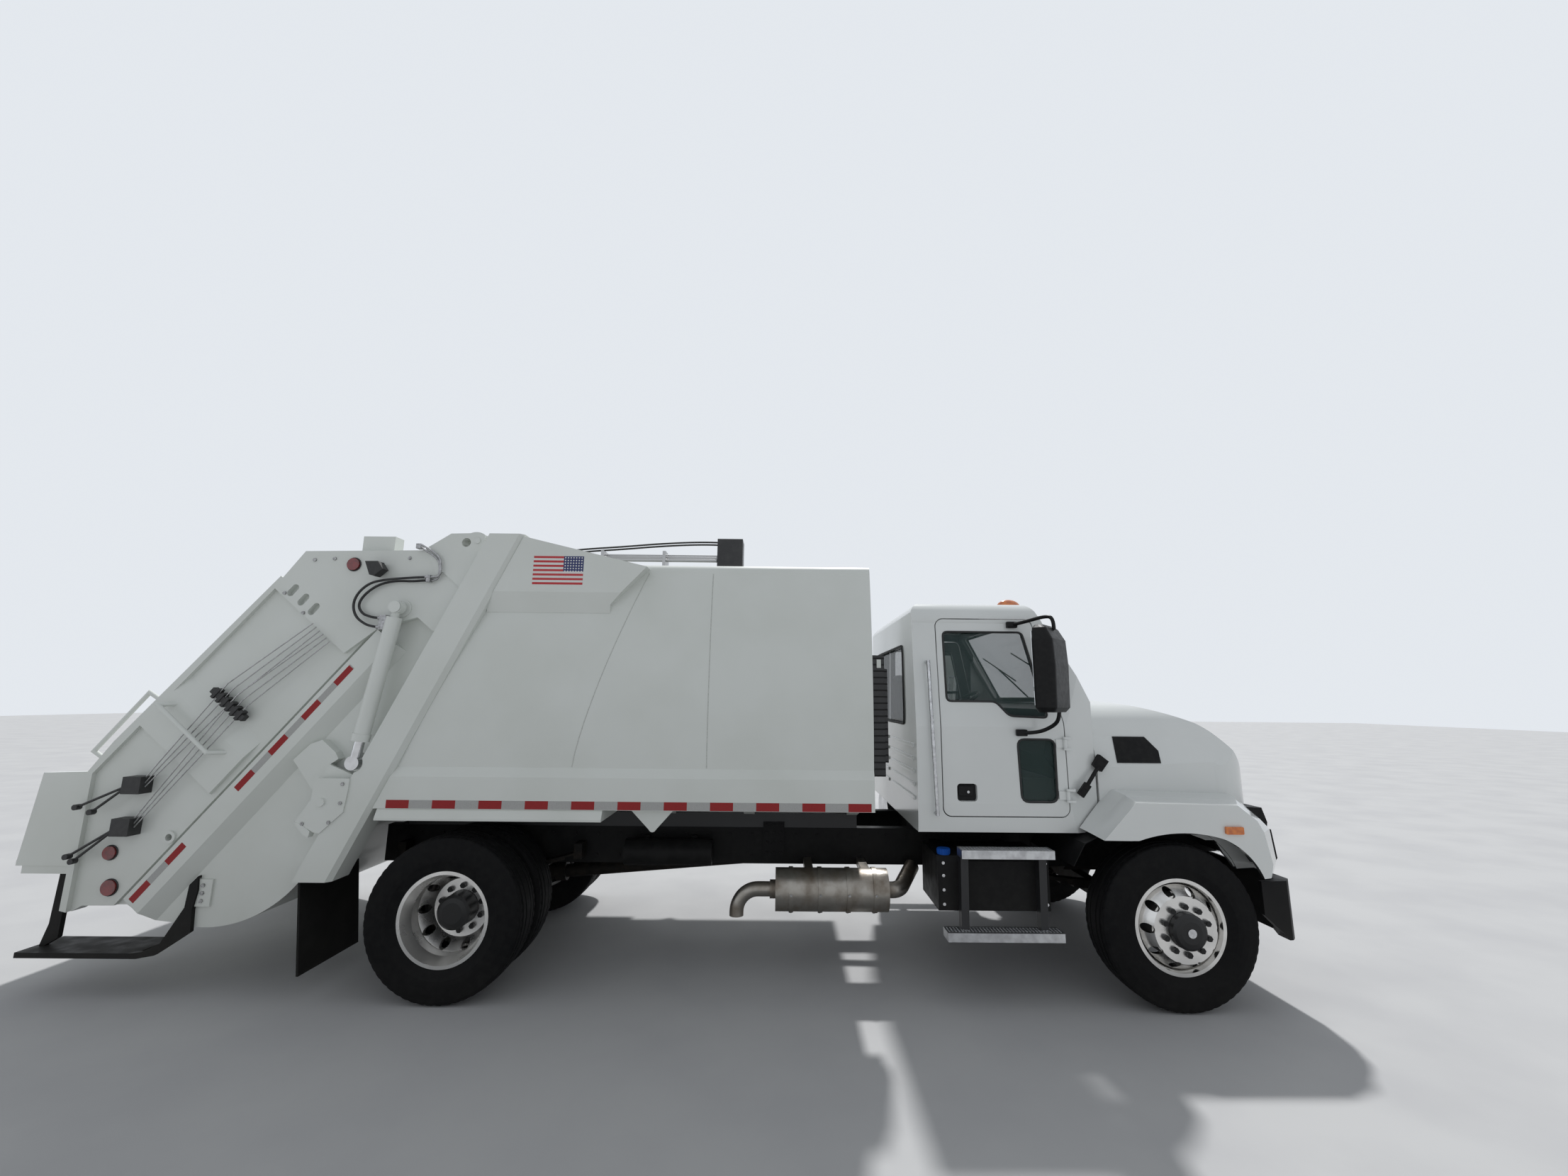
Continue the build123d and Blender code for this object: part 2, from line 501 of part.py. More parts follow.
# door hinges: a pin between two lugs on the pillar carries a knuckle on the door
DOOR_HINGE = (-608, CAB_HALF + 18)
KNUCKLE_R, HINGE_PIN_R = 14, 8
hinge_x, hinge_y = DOOR_HINGE
door_hinges = []
for z in (1300, 1650):
    for low in (z - 45, z + 30):
        lug = bar((hinge_x, hinge_y, low), (hinge_x, hinge_y, low + 15), KNUCKLE_R - 1)
        lug += block((hinge_x, hinge_x + 46), (hinge_y - 13, hinge_y + 13), (low, low + 15))
        lug += block((hinge_x + 22, hinge_x + 46), (hinge_y - 22, hinge_y + 13), (low, low + 15))
        cab_shell += [lug, mirror(lug, Plane.XZ)]
    pin = bar((hinge_x, hinge_y, z - 44), (hinge_x, hinge_y, z + 44), HINGE_PIN_R)
    cab_shell += [pin, mirror(pin, Plane.XZ)]
    leaf = bar((hinge_x, hinge_y, z - 28), (hinge_x, hinge_y, z + 28), KNUCKLE_R)
    leaf += block((hinge_x - 60, hinge_x), (hinge_y - 19, hinge_y - 5), (z - 28, z + 28))
    leaf -= bar((hinge_x, hinge_y, z - 30), (hinge_x, hinge_y, z + 30), HINGE_PIN_R + RUNNING)
    door_hinges.append(leaf)
save("cab_shell", cab_shell, datum=WHEELBASE)

GLASS = 8
glass_inset = 14
glass_skin = cab_form(glass_inset) - cab_form(glass_inset + GLASS)
windscreen = glass_skin & slab_x(screen_outline(SEAT), -763, -318)
rear_glass = slab_x(rear_outline(SEAT), CAB_REAR + 15, CAB_REAR + 15 + GLASS)
save("cab_glass", windscreen, rear_glass, datum=WHEELBASE)

# Door: skin with two panes, a handle in its recess, and hinge knuckles
HANDLE = [(-1369, 1254), (-1231, 1254), (-1231, 1373), (-1369, 1373)]
handle_recess = prism_of(rounded(HANDLE, 24), CAB_HALF - 26, CAB_HALF + 20)
door_left = largest((cab_skin & door_block) - window_cut - low_window_cut - handle_recess)
door_left += door_hinges
door_left += prism_of(rounded([(-1355, 1290), (-1262, 1290), (-1262, 1352), (-1355, 1352)], 12), CAB_HALF - 30, CAB_HALF - 12)
door_left_glass = (glass_skin & prism_of(offset(window_face, -0.5), side_low, side_high)) + (
    glass_skin & prism_of(offset(low_window_face, -0.5), side_low, side_high))
# mirror head on two arms
mirror_left = block((-798, -723), (1120, 1420), (1885, 2440))
mirror_left = fillet(mirror_left.edges().filter_by(Axis.Z), 30)
mirror_left += bar((-763, 1300, 2430), (-763, 1300, 2500), 12) + bar((-763, 1300, 2490), (-938, 940, 2490), 12)
mirror_left += bar((-763, 1300, 1720), (-763, 1300, 1890), 12) + bar((-763, 1300, 1730), (-863, 1030, 1730), 12)
mirror_left = largest(mirror_left - cab_form(-SEAT))
for side, turn in (("left", lambda s: s), ("right", lambda s: mirror(s, Plane.XZ))):
    save(f"door_{side}", turn(door_left), datum=WHEELBASE)
    save(f"door_glass_{side}", turn(door_left_glass), datum=WHEELBASE)
    save(f"mirror_{side}", turn(mirror_left), datum=WHEELBASE)

# Seats, and the dashboard with the steering column
cab_inside_z = CAB_FLOOR + CAB_WALL
seats = []
for y in (-620, 620):
    seat = block((-1348, -868), (y - 240, y + 240), (cab_inside_z + 330, cab_inside_z + 450))
    seat = fillet(seat.edges().filter_by(Axis.Y), 40)
    back = slab_y([(-1438, 1480), (-1328, 1480), (-1398, 2180), (-1508, 2180)], y - 230, y + 230)
    seat += fillet(back.edges().filter_by(Axis.Y), 30)
    seat += block((-1288, -928), (y - 180, y + 180), (cab_inside_z + SEAT, cab_inside_z + 340))
    seats.append(seat)
save("cab_seats", *seats, datum=WHEELBASE)

dash = slab_y([(-708, 1560), (-648, 1880), (-368, 1930), (-368, 1400), (-588, 1380)], -930, 930)
dash &= cab_form(CAB_WALL + SEAT)
column_top, column_foot = Vector(-878, 620, 1900), Vector(-688, 620, 1590)
wheel_plane = Plane(column_top, x_dir=(0, 1, 0), z_dir=column_top - column_foot)
steering = wheel_plane * (Torus(225, 15) + Cylinder(70, 40))
steering += [wheel_plane * Rot(0, 0, a) * Pos(110, 0, 0) * Box(220, 34, 14) for a in (90, 210, 330)]
save("steering_wheel", steering, datum=WHEELBASE)
dash += bar(column_foot, column_top - (column_top - column_foot).normalized() * 20.4, 34)
save("dashboard", dash, datum=WHEELBASE)

# Amber lamps on the cab's roof, and the grab bars beside the doors
lamps = []
for x, y in ((-790, 640), (-790, 320), (-790, 0), (-790, -320), (-790, -640)):
    lamp = fillet(block((x - 60, x + 60), (y - 35, y + 35), (CAB_ROOF - 40, CAB_ROOF + 34)).edges().filter_by(Axis.Z), 30)
    lamps.append(largest(lamp - cab_form(-SEAT)))
save("roof_lamps", *lamps, datum=WHEELBASE)
grab_bar = bent_bar([(-1522, CAB_HALF - 20, 1175), (-1522, CAB_HALF + 50, 1175), (-1550, CAB_HALF + 26, 2210),
                     (-1550, CAB_HALF - 90, 2210)], 13)
grab_bar = largest(grab_bar - cab_form(-SEAT))
save("cab_handles", mirrored(grab_bar), datum=WHEELBASE)

# Hood with its fenders: one hollow moulding that tilts forwards on its nose hinges
NOSE = FRONT_OVERHANG - 20


def hood_form(inset):
    """Bonnet's solid form drawn in by its skin."""
    low = BUMPER_TOP + NOSE_GAP
    side = [(-356, 1000), (-356, 1965 - inset), ((100, 1897 - inset), (417, 1794 - inset)),
            ((632 - inset * 0.7, 1620 - inset * 0.7), (748 - inset, 1440)), (NOSE - 13 - inset, 1242),
            (NOSE - inset, 1150), (NOSE - inset, low), (532, low), (432, 1000)]
    half = HOOD_HALF - inset
    front = [(half, BUMPER_TOP), (half, 1480), (half - 55, 1700), ((half - 110, 1842), (half - 250, 1925 - inset * 0.5)),
             ((0, 2000 - inset), (250 - half, 1925 - inset * 0.5)), ((110 - half, 1842), (55 - half, 1700)),
             (-half, 1480), (-half, BUMPER_TOP)]
    plan = [(-368, half), (482, half - 12), ((710 - inset * 0.7, half - 80), (NOSE - 10 - inset, half - 285)),
            (NOSE - inset, 400), (NOSE - inset, -400), (NOSE - 10 - inset, 285 - half),
            ((710 - inset * 0.7, 80 - half), (482, 12 - half)), (-368, -half)]
    return (slab_y(side, -1200, 1200) & slab_x(front, -468, 932)) & slab_z(plan, 700, 2100)


# Fender outlines in X and Z from the hood's side outwards: y, rear foot, rear top, front top, brow, front, foot
FENDER_SECTIONS = (
    (HOOD_HALF, (-553, 1098), (-266, 1335), (552, 1315), (640, 1250), (780, 1112), (785, 905), (760, BUMPER_TOP + NOSE_GAP)),
    (HOOD_HALF + 145, (-510, 1072), (-254, 1316), (500, 1292), (650, 1170), (706, 1108), (728, 905), (700, BUMPER_TOP + NOSE_GAP)),
    (FENDER_HALF, (-470, 1046), (-241, 1284), (430, 1274), (548, 1178), (586, 1105), (622, 905), (600, BUMPER_TOP + 24)),
)
ARCH = [(-241, 1046), ((40, 1096), (315, 1062)), ((458, 970), (556, BUMPER_TOP + 18))]


def fender_outline(section):
    """Closed outline of one fender section with the wheel's arch under it."""
    _, foot, rear_top, front_top, brow, front, low_front, tip = section
    return [foot, (-300, 1045)] + ARCH + [tip, low_front, front, brow, front_top, rear_top]


fender = None
for near, far in zip(FENDER_SECTIONS, FENDER_SECTIONS[1:]):
    ends = [face_of(Plane((0, s[0], 0), x_dir=(1, 0, 0), z_dir=(0, -1, 0)), fender_outline(s)) for s in (near, far)]
    piece = loft(ends, ruled=True)
    fender = piece if fender is None else fender + piece
fender += slab_y(fender_outline(FENDER_SECTIONS[0]), HOOD_HALF - 225, HOOD_HALF)

cavity = None
CAVITY_SECTIONS = (
    (HOOD_HALF, (-752, 900), (-256, 1306), (540, 1286), (612, 1232), (750, 1098), (757, 905), (745, 700)),
    (HOOD_HALF + 145, (-640, 900), (-244, 1288), (490, 1264), (622, 1158), (678, 1100), (700, 905), (690, 700)),
    (FENDER_HALF - HOOD_SKIN, (-572, 900), (-231, 1256), (418, 1246), (524, 1158), (558, 1098), (594, 905), (585, 700)),
)
for near, far in zip(CAVITY_SECTIONS, CAVITY_SECTIONS[1:]):
    ends = [face_of(Plane((0, s[0], 0), x_dir=(1, 0, 0), z_dir=(0, -1, 0)), list(s[1:]) + [(-560, 700)])
            for s in (near, far)]
    piece = loft(ends, ruled=True)
    cavity = piece if cavity is None else cavity + piece

hood_outer = hood_form(0) + both(fender)
skin_form = hood_form(HOOD_SKIN)
hollow = skin_form + Pos(0, 0, -HOOD_SKIN - 4) * skin_form + Pos(-HOOD_SKIN, 0, 0) * skin_form
well = slab_y([(-588, 700), (-588, 1040), (-288, 1080), ((0, 1090), (312, 1020)), ((467, 930), (562, 780)), (562, 700)],
              HOOD_HALF - 285, HOOD_HALF + 2)
hood = hood_outer - hollow - both(cavity) - well - mirror(well, Plane.XZ)
hood -= block((NOSE - 100, NOSE + 10), (-430, 430), (900, 1330))
# opening of the louvred vent on each side, and of the headlamps
VENT = [(-208, 1515), (102, 1515), (102, 1600), (22, 1695), (-208, 1695)]
hood -= slab_y(VENT, -1100, 1100)
HEADLAMP_Y, HEADLAMP_Z = (600, 900), (935, 1105)
for sign in (-1, 1):
    hood -= block((NOSE - 120, NOSE + 20), (sign * (HEADLAMP_Y[0] - SEAT), sign * (HEADLAMP_Y[1] + SEAT)),
                  (HEADLAMP_Z[0] - SEAT, HEADLAMP_Z[1] + SEAT))
hood -= cab_form(-12)
nose_hinge = (NOSE, BUMPER_TOP + NOSE_GAP)
for sign in (-1, 1):
    eye_y = sorted((sign * (RAIL_OUTER_Y + 6), sign * (RAIL_OUTER_Y + 34)))
    hood -= block((NOSE - 110, NOSE + 20), (sign * (RAIL_OUTER_Y - 33), sign * (RAIL_OUTER_Y + 6)),
                  (BUMPER_TOP, nose_hinge[1] + 42))
    lug = drum_y(nose_hinge, *eye_y, HOOD_HINGE_R)
    lug += block((NOSE - 26, NOSE - 2), eye_y, (nose_hinge[1], nose_hinge[1] + 50))
    hood += lug
    hood -= drum_y(nose_hinge, *sorted((sign * (RAIL_OUTER_Y - 2), sign * (RAIL_OUTER_Y + 38))), 10 + RUNNING)
hood = largest(hood)
save("hood", hood, datum=WHEELBASE)

radiator = block((502, 592), (-380, 380), (rail_top + SEAT, 1480))
radiator += block((588, 618), (-340, 340), (1000, 1440))
save("radiator", radiator, datum=WHEELBASE)

headlamps = fillet(block((NOSE - 60, NOSE + 6), HEADLAMP_Y, HEADLAMP_Z).edges().filter_by(Axis.X), 12)
save("headlamps", mirrored(headlamps), datum=WHEELBASE)

# Black plastic on the hood: grille, lamp surrounds, louvred side vents and rubber latches
grille = block((NOSE - 52, NOSE - 2), (-430 + SEAT, 430 - SEAT), (900 + SEAT, 1330 - SEAT))
grille -= block((NOSE - 70, NOSE + 10), (-400, 400), (930, 1300))
grille += [block((NOSE - 46, NOSE - 10), (y - 9, y + 9), (925, 1305)) for y in range(-360, 361, 90)]
upper_surround = slab_y([(597, 1231), (747, 1228), (776, 1132), (768, 1086), (640, 1086)], HOOD_HALF - 115, HOOD_HALF + 40)
lower_surround = slab_y([(690, 1088), (773, 1090), (794, 905), (762, 864), (690, 864)], HOOD_HALF - 40, HOOD_HALF + 71)
solid_nose = hood_form(0) + fender
trim = [largest(piece - solid_nose) for piece in (upper_surround, lower_surround)]
vent_skin = hood_form(-6) - hood_form(HOOD_SKIN)
vent = (vent_skin & slab_y([(-208 + SEAT, 1515 + SEAT), (102 - SEAT, 1515 + SEAT), (102 - SEAT, 1600),
                            (22 - SEAT / 2, 1695 - SEAT), (-208 + SEAT, 1695 - SEAT)], 500, 1100))
for z in (1532, 1573, 1614, 1655):
    vent -= slab_y([(-190, z), (84 if z < 1600 else 60 - (z - 1600), z), (84 if z < 1600 else 40 - (z - 1600), z + 24),
                    (-190, z + 24)], HOOD_HALF - 8, HOOD_HALF + 60)
vent = largest(vent)
latch = Pos(-345, HOOD_HALF + 14, 1515) * Rot(0, 38, 0) * Box(76, 40, 90)
latch += bar((-360, HOOD_HALF + 22, 1490), (-490, CAB_HALF + 18, 1345), 13)
latch += Pos(-495, CAB_HALF + 14, 1340) * Rot(0, 38, 0) * Box(48, 24, 96)
latch = largest(latch - cab_form(-6) - hood_form(-SEAT))
save("hood_trim", grille, *[mirrored(piece) for piece in trim], mirrored(vent), mirrored(latch), datum=WHEELBASE)
marker = block((327, 444), (FENDER_HALF + SEAT, FENDER_HALF + 16), (1093, 1141))
save("side_markers", mirrored(fillet(marker.edges().filter_by(Axis.Y), 8)), datum=WHEELBASE)


# Body shell: curved sides and roof on straight bottom rails
def body_section(inset):
    """Body's outline in Y and Z drawn in by its wall."""
    low = FLOOR_Z if not inset else FLOOR_Z + FLOOR_THICK
    foot = [(BODY_HALF, low), (BODY_HALF, low + 204), (BODY_HALF - 29, low + 265)] if not inset else [
        (BODY_HALF - 29 - inset, low)]
    waist, shoulder = BODY_HALF - 29 - inset, BODY_HALF - 109 - inset
    top = ROOF_Z - inset
    right = foot + [((waist + 7, 2150), (shoulder, top - 65)), ((shoulder - 22, top - 15), (shoulder - 75, top)),
                    ((0, top + 30), (75 - shoulder, top)), ((22 - shoulder, top - 15), (-shoulder, top - 65)),
                    ((-waist - 7, 2150), (-waist, foot[-1][1]))]
    return right + [(-y, z) for y, z in foot[:-1][::-1]]


def pod_form(inset):
    """Raised rear end of the body: its roof climbs to the tailgate's hinges."""
    side = [(100, 2520), (965, 2520), (967 - inset, 2578), (1219 - inset * 2, 2848 - inset), (356, 3052 - inset),
            (200, 3054 - inset)]
    half = BODY_HALF - inset
    front = [(62 - half, 2500), (-half, 2660), (-half, 3100), (half, 3100), (half, 2660), (half - 62, 2500)]
    return slab_y(side, -BODY_HALF, BODY_HALF) & slab_x(front, 0, 1300)


FRONT_WALL = 60
body_rear = post_x(600)
inside = slab_x(body_section(WALL), body_rear, BODY_FRONT - FRONT_WALL) + pod_form(WALL)
body_shell = slab_x(body_section(0), body_rear, BODY_FRONT) + pod_form(0) - inside
body_shell -= slab_y([(-REAR_REACH, 0), (post_x(0) + POST_WIDTH, 0), (post_x(3400) + POST_WIDTH, 3400),
                      (-REAR_REACH, 3400)], -POST_HALF - 60, POST_HALF + 60)
save("body_shell", body_shell)

# Box on the roof with the tubes that run back from it
roof_box = block((1667, 1864), (-790, -610), (ROOF_Z, 3164))
roof_box += [bar((751, y, z), (1690, y, z), 13) for y, z in ((-745, 2996), (-700, 3024), (-655, 3050))]
roof_box += [block((x, x + 24), (-775, -625), (ROOF_Z, 3066)) for x in (760, 1240)]
roof_box = largest(roof_box - slab_x([(y, z + SEAT) for y, z in ((-1000, ROOF_Z - 100), (-1000, ROOF_Z + 4), (0, ROOF_Z + 30),
                                                                  (0, ROOF_Z - 100))], 600, 2000) - body_shell)
save("roof_box", roof_box)

# Black panel that stands on the body's front wall behind the cab
stack_y = 324 - BODY_HALF     # middle of the panel's width
stack_panel = block((BODY_FRONT + SEAT, BODY_FRONT + 110), (stack_y - 115, stack_y + 115), (1410, 2255))
stack_panel += block((BODY_FRONT + 20, BODY_FRONT + 140), (stack_y - 65, stack_y + 65), (1500, 2160))
save("stack_panel", stack_panel)


# Rear frame: two slanted posts, a beam over them with the hinge eyes, and a sill under the floor
def slanted(low, high, y_low, y_high):
    """Part of the slanted post between two heights."""
    outline = [(post_x(low), low), (post_x(low) + POST_WIDTH - SEAT, low),
               (post_x(high) + POST_WIDTH - SEAT, high), (post_x(high), high)]
    return slab_y(outline, y_low, y_high)


front_x = POST_FOOT[0] + POST_WIDTH - SEAT
post_plan = [(POST_FOOT[0], GATE_INNER), (front_x, GATE_INNER), (front_x, POST_HALF - POST_BEVEL),
             (front_x - POST_BEVEL, POST_HALF), (POST_FOOT[0], POST_HALF)]
post_rise = POST_TOP[1] - POST_FOOT[1]
post = extrude(face_of(Plane((0, 0, POST_FOOT[1])), post_plan), post_rise * hypot(LEAN, 1), dir=(LEAN, 0, 1))
LIFT_FOOT = (-655, 1494)
LIFT_TOP = (-488, 2538)
LIFT_Y = BODY_HALF + 13
LIFT_HALF = 27                # half width of the lift cylinder's eyes
lift_inner = LIFT_Y - LIFT_HALF
post -= drum_y(LIFT_FOOT, lift_inner - 34, POST_HALF + 10, HINGE_EYE_R)
ear = drum_y(LIFT_FOOT, lift_inner - 40, lift_inner - 12, 60)
ear += slab_y([(LIFT_FOOT[0] - 10, LIFT_FOOT[1] - 58), (-560, 1436), (-530, 1560), (LIFT_FOOT[0], LIFT_FOOT[1] + 60)],
              lift_inner - 40, lift_inner - 12)
post += ear
# latch plate on the post with its tie rod and hand lever
LATCH = [(-841, 1480), (-662, 1409), (-600, 1330), (-640, 1183), (-814, 1051), (-852, 1057), (-979, 1121), (-893, 1265),
         (-889, 1367)]
post += slab_y(LATCH, GATE_BEAM + 6, GATE_BEAM + 24)
post += slab_y([(-889, 1367), (-870, 1395), (-661, 1395), (-661, 1327), (-677, 1183), (-814, 1051), (-852, 1057),
                (-979, 1121), (-893, 1265)], GATE_BEAM + 20, POST_HALF + 10)
post += slab_y([(-985, 1121), (-940, 1109), (-872, 1063), (-879, 1025), (-918, 1045)], POST_HALF - 34, POST_HALF + 14)
post += bar((-826, POST_HALF - 30, 1245), (-826, POST_HALF + 22, 1245), 26)
eye_arm = [(HINGE[0] - 20, HINGE[1] - HINGE_EYE_R + 4), (post_x(2960) + 20, 2960), (140, 3066),
           (HINGE[0], HINGE[1] + HINGE_EYE_R - 1)]
eye_y = (GATE_INNER + 10, GATE_INNER + 50)
eye = drum_y(HINGE, *eye_y, HINGE_EYE_R) + slab_y(eye_arm, *eye_y)
post += eye - drum_y(HINGE, GATE_INNER, GATE_BASE, PIN_R + RUNNING)
rear_frame = both(post)
inner_y = GATE_INNER + 10
rear_frame += slanted(2930, POST_TOP[1], -inner_y, inner_y) + slanted(1100, FLOOR_Z + FLOOR_THICK - 5, -inner_y, inner_y)
save("body_rear_frame", rear_frame)

# Subframe: sills on the chassis rails, tapered bearers under the floor, shelves over the rear wheels
sill_front = BODY_FRONT - 30
bearer_top = FLOOR_Z - SEAT
subframe = both(block((-690, sill_front), (352, RAIL_OUTER_Y), (rail_top + SEAT, SILL_TOP)))
bearer = [(BODY_HALF - 240, bearer_top), (470, SILL_TOP - 2), (-470, SILL_TOP - 2), (240 - BODY_HALF, bearer_top)]
for x in (-420, 180, 1290, 1900, sill_front - 80):
    subframe += slab_x(bearer, x, x + 80)
shelf_half = BODY_HALF + 18
shelf = [(620, bearer_top), (BODY_HALF - 8, bearer_top), (shelf_half, 1146), (shelf_half, 1132), (620, 1132)]
subframe += both(slab_x(shelf, -480, 1001))
gusset = [(1178, bearer_top), (1467, bearer_top), (1352, 1076), ((1329, 1061), (1306, 1076))]
subframe += both(slab_y(gusset, BODY_HALF - 70, BODY_HALF - 45))
subframe += both(block((1290, 1370), (900, BODY_HALF - 60), (bearer_top - 40, bearer_top)))
save("body_subframe", subframe)

flap_top = POST_FOOT[1] - SEAT
flap = slab_y([(-942, flap_top), (-928, flap_top), (-862, 180), (-876, 180)], 620, SIDE_HALF + 30)
save("mud_flaps", mirrored(flap))

# Ejector: slanted push-out panel with a frame behind it, standing on the body's floor
ejector_foot_x, ejector_top = BODY_FRONT - 843, ROOF_Z - 130
floor_top = FLOOR_Z + FLOOR_THICK + SEAT
ejector_half = BODY_HALF - 179
ejector = slab_y([(ejector_foot_x, floor_top), (ejector_foot_x + 50, floor_top),
                  (ejector_foot_x + 50 + (ejector_top - floor_top) * LEAN, ejector_top),
                  (ejector_foot_x + (ejector_top - floor_top) * LEAN, ejector_top)], -ejector_half, ejector_half)
ejector += [slab_y([(ejector_foot_x + 40, floor_top), (ejector_foot_x + 600, floor_top),
                    (ejector_foot_x + 600, floor_top + 90), (ejector_foot_x + 60 + 900 * LEAN, floor_top + 900)],
                   y - 20, y + 20) for y in (-700, 0, 700)]
save("ejector_panel", ejector)

# Tailgate, with its sheet parts given along the slide's tracks and off them towards the rear
track_dir = (cos(radians(SLIDE_ANGLE)), sin(radians(SLIDE_ANGLE)))


def along_track(start, along, off):
    """Point in X and Z at a distance along the slide's track and off it, towards the rear."""
    return (start[0] + along * track_dir[0] - off * track_dir[1], start[1] + along * track_dir[1] + off * track_dir[0])


def track_plate(start, along, off, y):
    """Plate lying along the track between (low, high) pairs."""
    corners = [along_track(start, along[i], off[j]) for i, j in ((0, 0), (1, 0), (1, 1), (0, 1))]
    return slab_y(corners, *y)


def along_bar(points, along):
    """Section in off and Y, run along the track from the hopper's middle."""
    x, z = along_track(TROUGH, along[0], 0)
    plane = Plane((x, 0, z), x_dir=(-track_dir[1], 0, track_dir[0]), z_dir=(-track_dir[0], 0, -track_dir[1]))
    return extrude(face_of(plane, [(a, b) for a, b in points]), along[0] - along[1])


def across_bar(points, off):
    """Section in along and Y, run off the track from the hopper's middle."""
    x, z = along_track(TROUGH, 0, off[0])
    plane = Plane((x, 0, z), x_dir=(track_dir[0], 0, track_dir[1]), z_dir=(-track_dir[1], 0, track_dir[0]))
    return extrude(face_of(plane, points), off[1] - off[0])


# each side wall is a cut plate with pressed panels, a flange, a slanted beam and a hinge plate on it
trough_front, trough_rear = -28.6, -150
side_wall = [(-1224, 2944), (-396, 2959), (-201, 3085), (-60, 3085), (gate_x(2940), 2940), (gate_x(795), 795),
             (polar(TROUGH, TROUGH_R, -68), polar(TROUGH, TROUGH_R, -107)), (-1899, 476), (-2001, 510), (-2099, 571),
             (-2367, 569), (-2426, 534), (-2477, 545), (-2473, 1403), (-2330, 1613)]
wall = slab_y(side_wall, GATE_INNER, GATE_BASE)
full = slab_y(side_wall, GATE_BASE - 2, GATE_RAISED)
wall += full & track_plate(TROUGH, (-1300, 2300), (112, 1100), (GATE_BASE - 2, GATE_PANEL))
wall += full & track_plate(TROUGH, (-700, 1400), (846, 1000), (GATE_BASE - 2, GATE_RAISED))
wall += full & block((-2480, -2433), (GATE_BASE - 2, GATE_RAISED), (520, 1460))
wall += across_bar([(70, GATE_PANEL - 2), (86, GATE_RAISED), (386, GATE_RAISED), (520, GATE_PANEL - 2)], (150, 850))
upper_plate = [(-1224, 2944), (-396, 2959), (-201, 3085), (-60, 3085), (gate_x(2940), 2940), (gate_x(2383), 2383),
               (-265, 2383), (-381, 2477), (-637, 2405), (-862, 2222), (-1411, 2677)]
wall += slab_y(upper_plate, GATE_BASE - 2, GATE_RAISED)
hinge_plate = [(-363, 2971), (-197, 3081), (-60, 3085), ((5, 3092), (43, 3075)), (gate_x(2975), 2975), (gate_x(2690), 2690),
               (-104, 2692), (-230, 2800), (-273, 2776)]
wall += slab_y(hinge_plate, GATE_BASE - 2, GATE_RAISED + 14)
wall += along_bar([(-160, GATE_BASE - 2), (-65, GATE_BEAM), (74, GATE_BEAM), (108, GATE_BASE - 2)], (-700, 1570))
latch_box = [(-1101, 1504), (-996, 1610), (-924, 1636), (-824, 1556), (-799, 1513), (-851, 1476), (-890, 1347),
             (-866, 1257), (-913, 1281), (-956, 1322)]
wall += slab_y(latch_box, GATE_BASE - 2, GATE_BEAM)
wall += block((-1668, -1553), (GATE_BASE - 2, GATE_BASE + 14), (565, 732))
ring = (-1869, 997)
wall += drum_y(ring, GATE_PANEL - 2, GATE_PANEL + 14, 40)
wall -= drum_y(ring, GATE_INNER + 20, GATE_RAISED + 20, 22)
wall -= drum_y((-84, 3017), GATE_INNER - 10, GATE_RAISED + 20, 32)
for off in (750, 645, 540):
    slot = along_track(TROUGH, 1383, off - 12)
    for along in (-24, 24):
        x, z = slot[0] + along * track_dir[0], slot[1] + along * track_dir[1]
        wall -= drum_y((x, z), GATE_BASE + 10, GATE_RAISED + 10, 24)
    wall -= track_plate(slot, (-24, 24), (-24, 24), (GATE_BASE + 10, GATE_RAISED + 10))
wing = slab_y([(-2250, 800), (-REAR_REACH, 800), (-2877, 1392), (-2300, 1410)], GATE_INNER - 40, GATE_INNER + 5)
wall += wing
wall += [track_plate(TROUGH, (-100, 1880), off, (GATE_INNER - 38, GATE_INNER + 5))
         for off in ((-SHOE - 30, -SHOE), (SHOE, SHOE + 30))]
wall -= block((HINGE[0] - 90, 200), (GATE_INNER - 10, GATE_INNER + 53.5), (2900, 3100))
ear_y = (GATE_INNER + 54, GATE_INNER + 90)
ear = drum_y(HINGE, *ear_y, HINGE_EYE_R)
ear += slab_y([(-300, 2950), (HINGE[0] - 20, HINGE[1] - HINGE_EYE_R + 4), (HINGE[0], HINGE[1] + HINGE_EYE_R - 1),
               (-201, 3085)], *ear_y)
wall += ear - drum_y((-84, 3017), GATE_INNER, GATE_RAISED, 32)
wall += drum_y(HINGE, GATE_INNER + 8, GATE_RAISED + 2, PIN_R) + drum_y(HINGE, GATE_RAISED, GATE_RAISED + 22, 22)
# lift cylinder's upper pin with its foot, between two cheeks of a hood-shaped bracket
lift_outer = LIFT_Y + LIFT_HALF
wall += drum_y(LIFT_TOP, GATE_RAISED - 5, lift_outer + 3, 28) + drum_y(LIFT_TOP, lift_outer + 3, lift_outer + 13, 40)
wall += drum_y(LIFT_TOP, GATE_RAISED - 5, GATE_RAISED + 12, 62)
tailgate = both(wall)

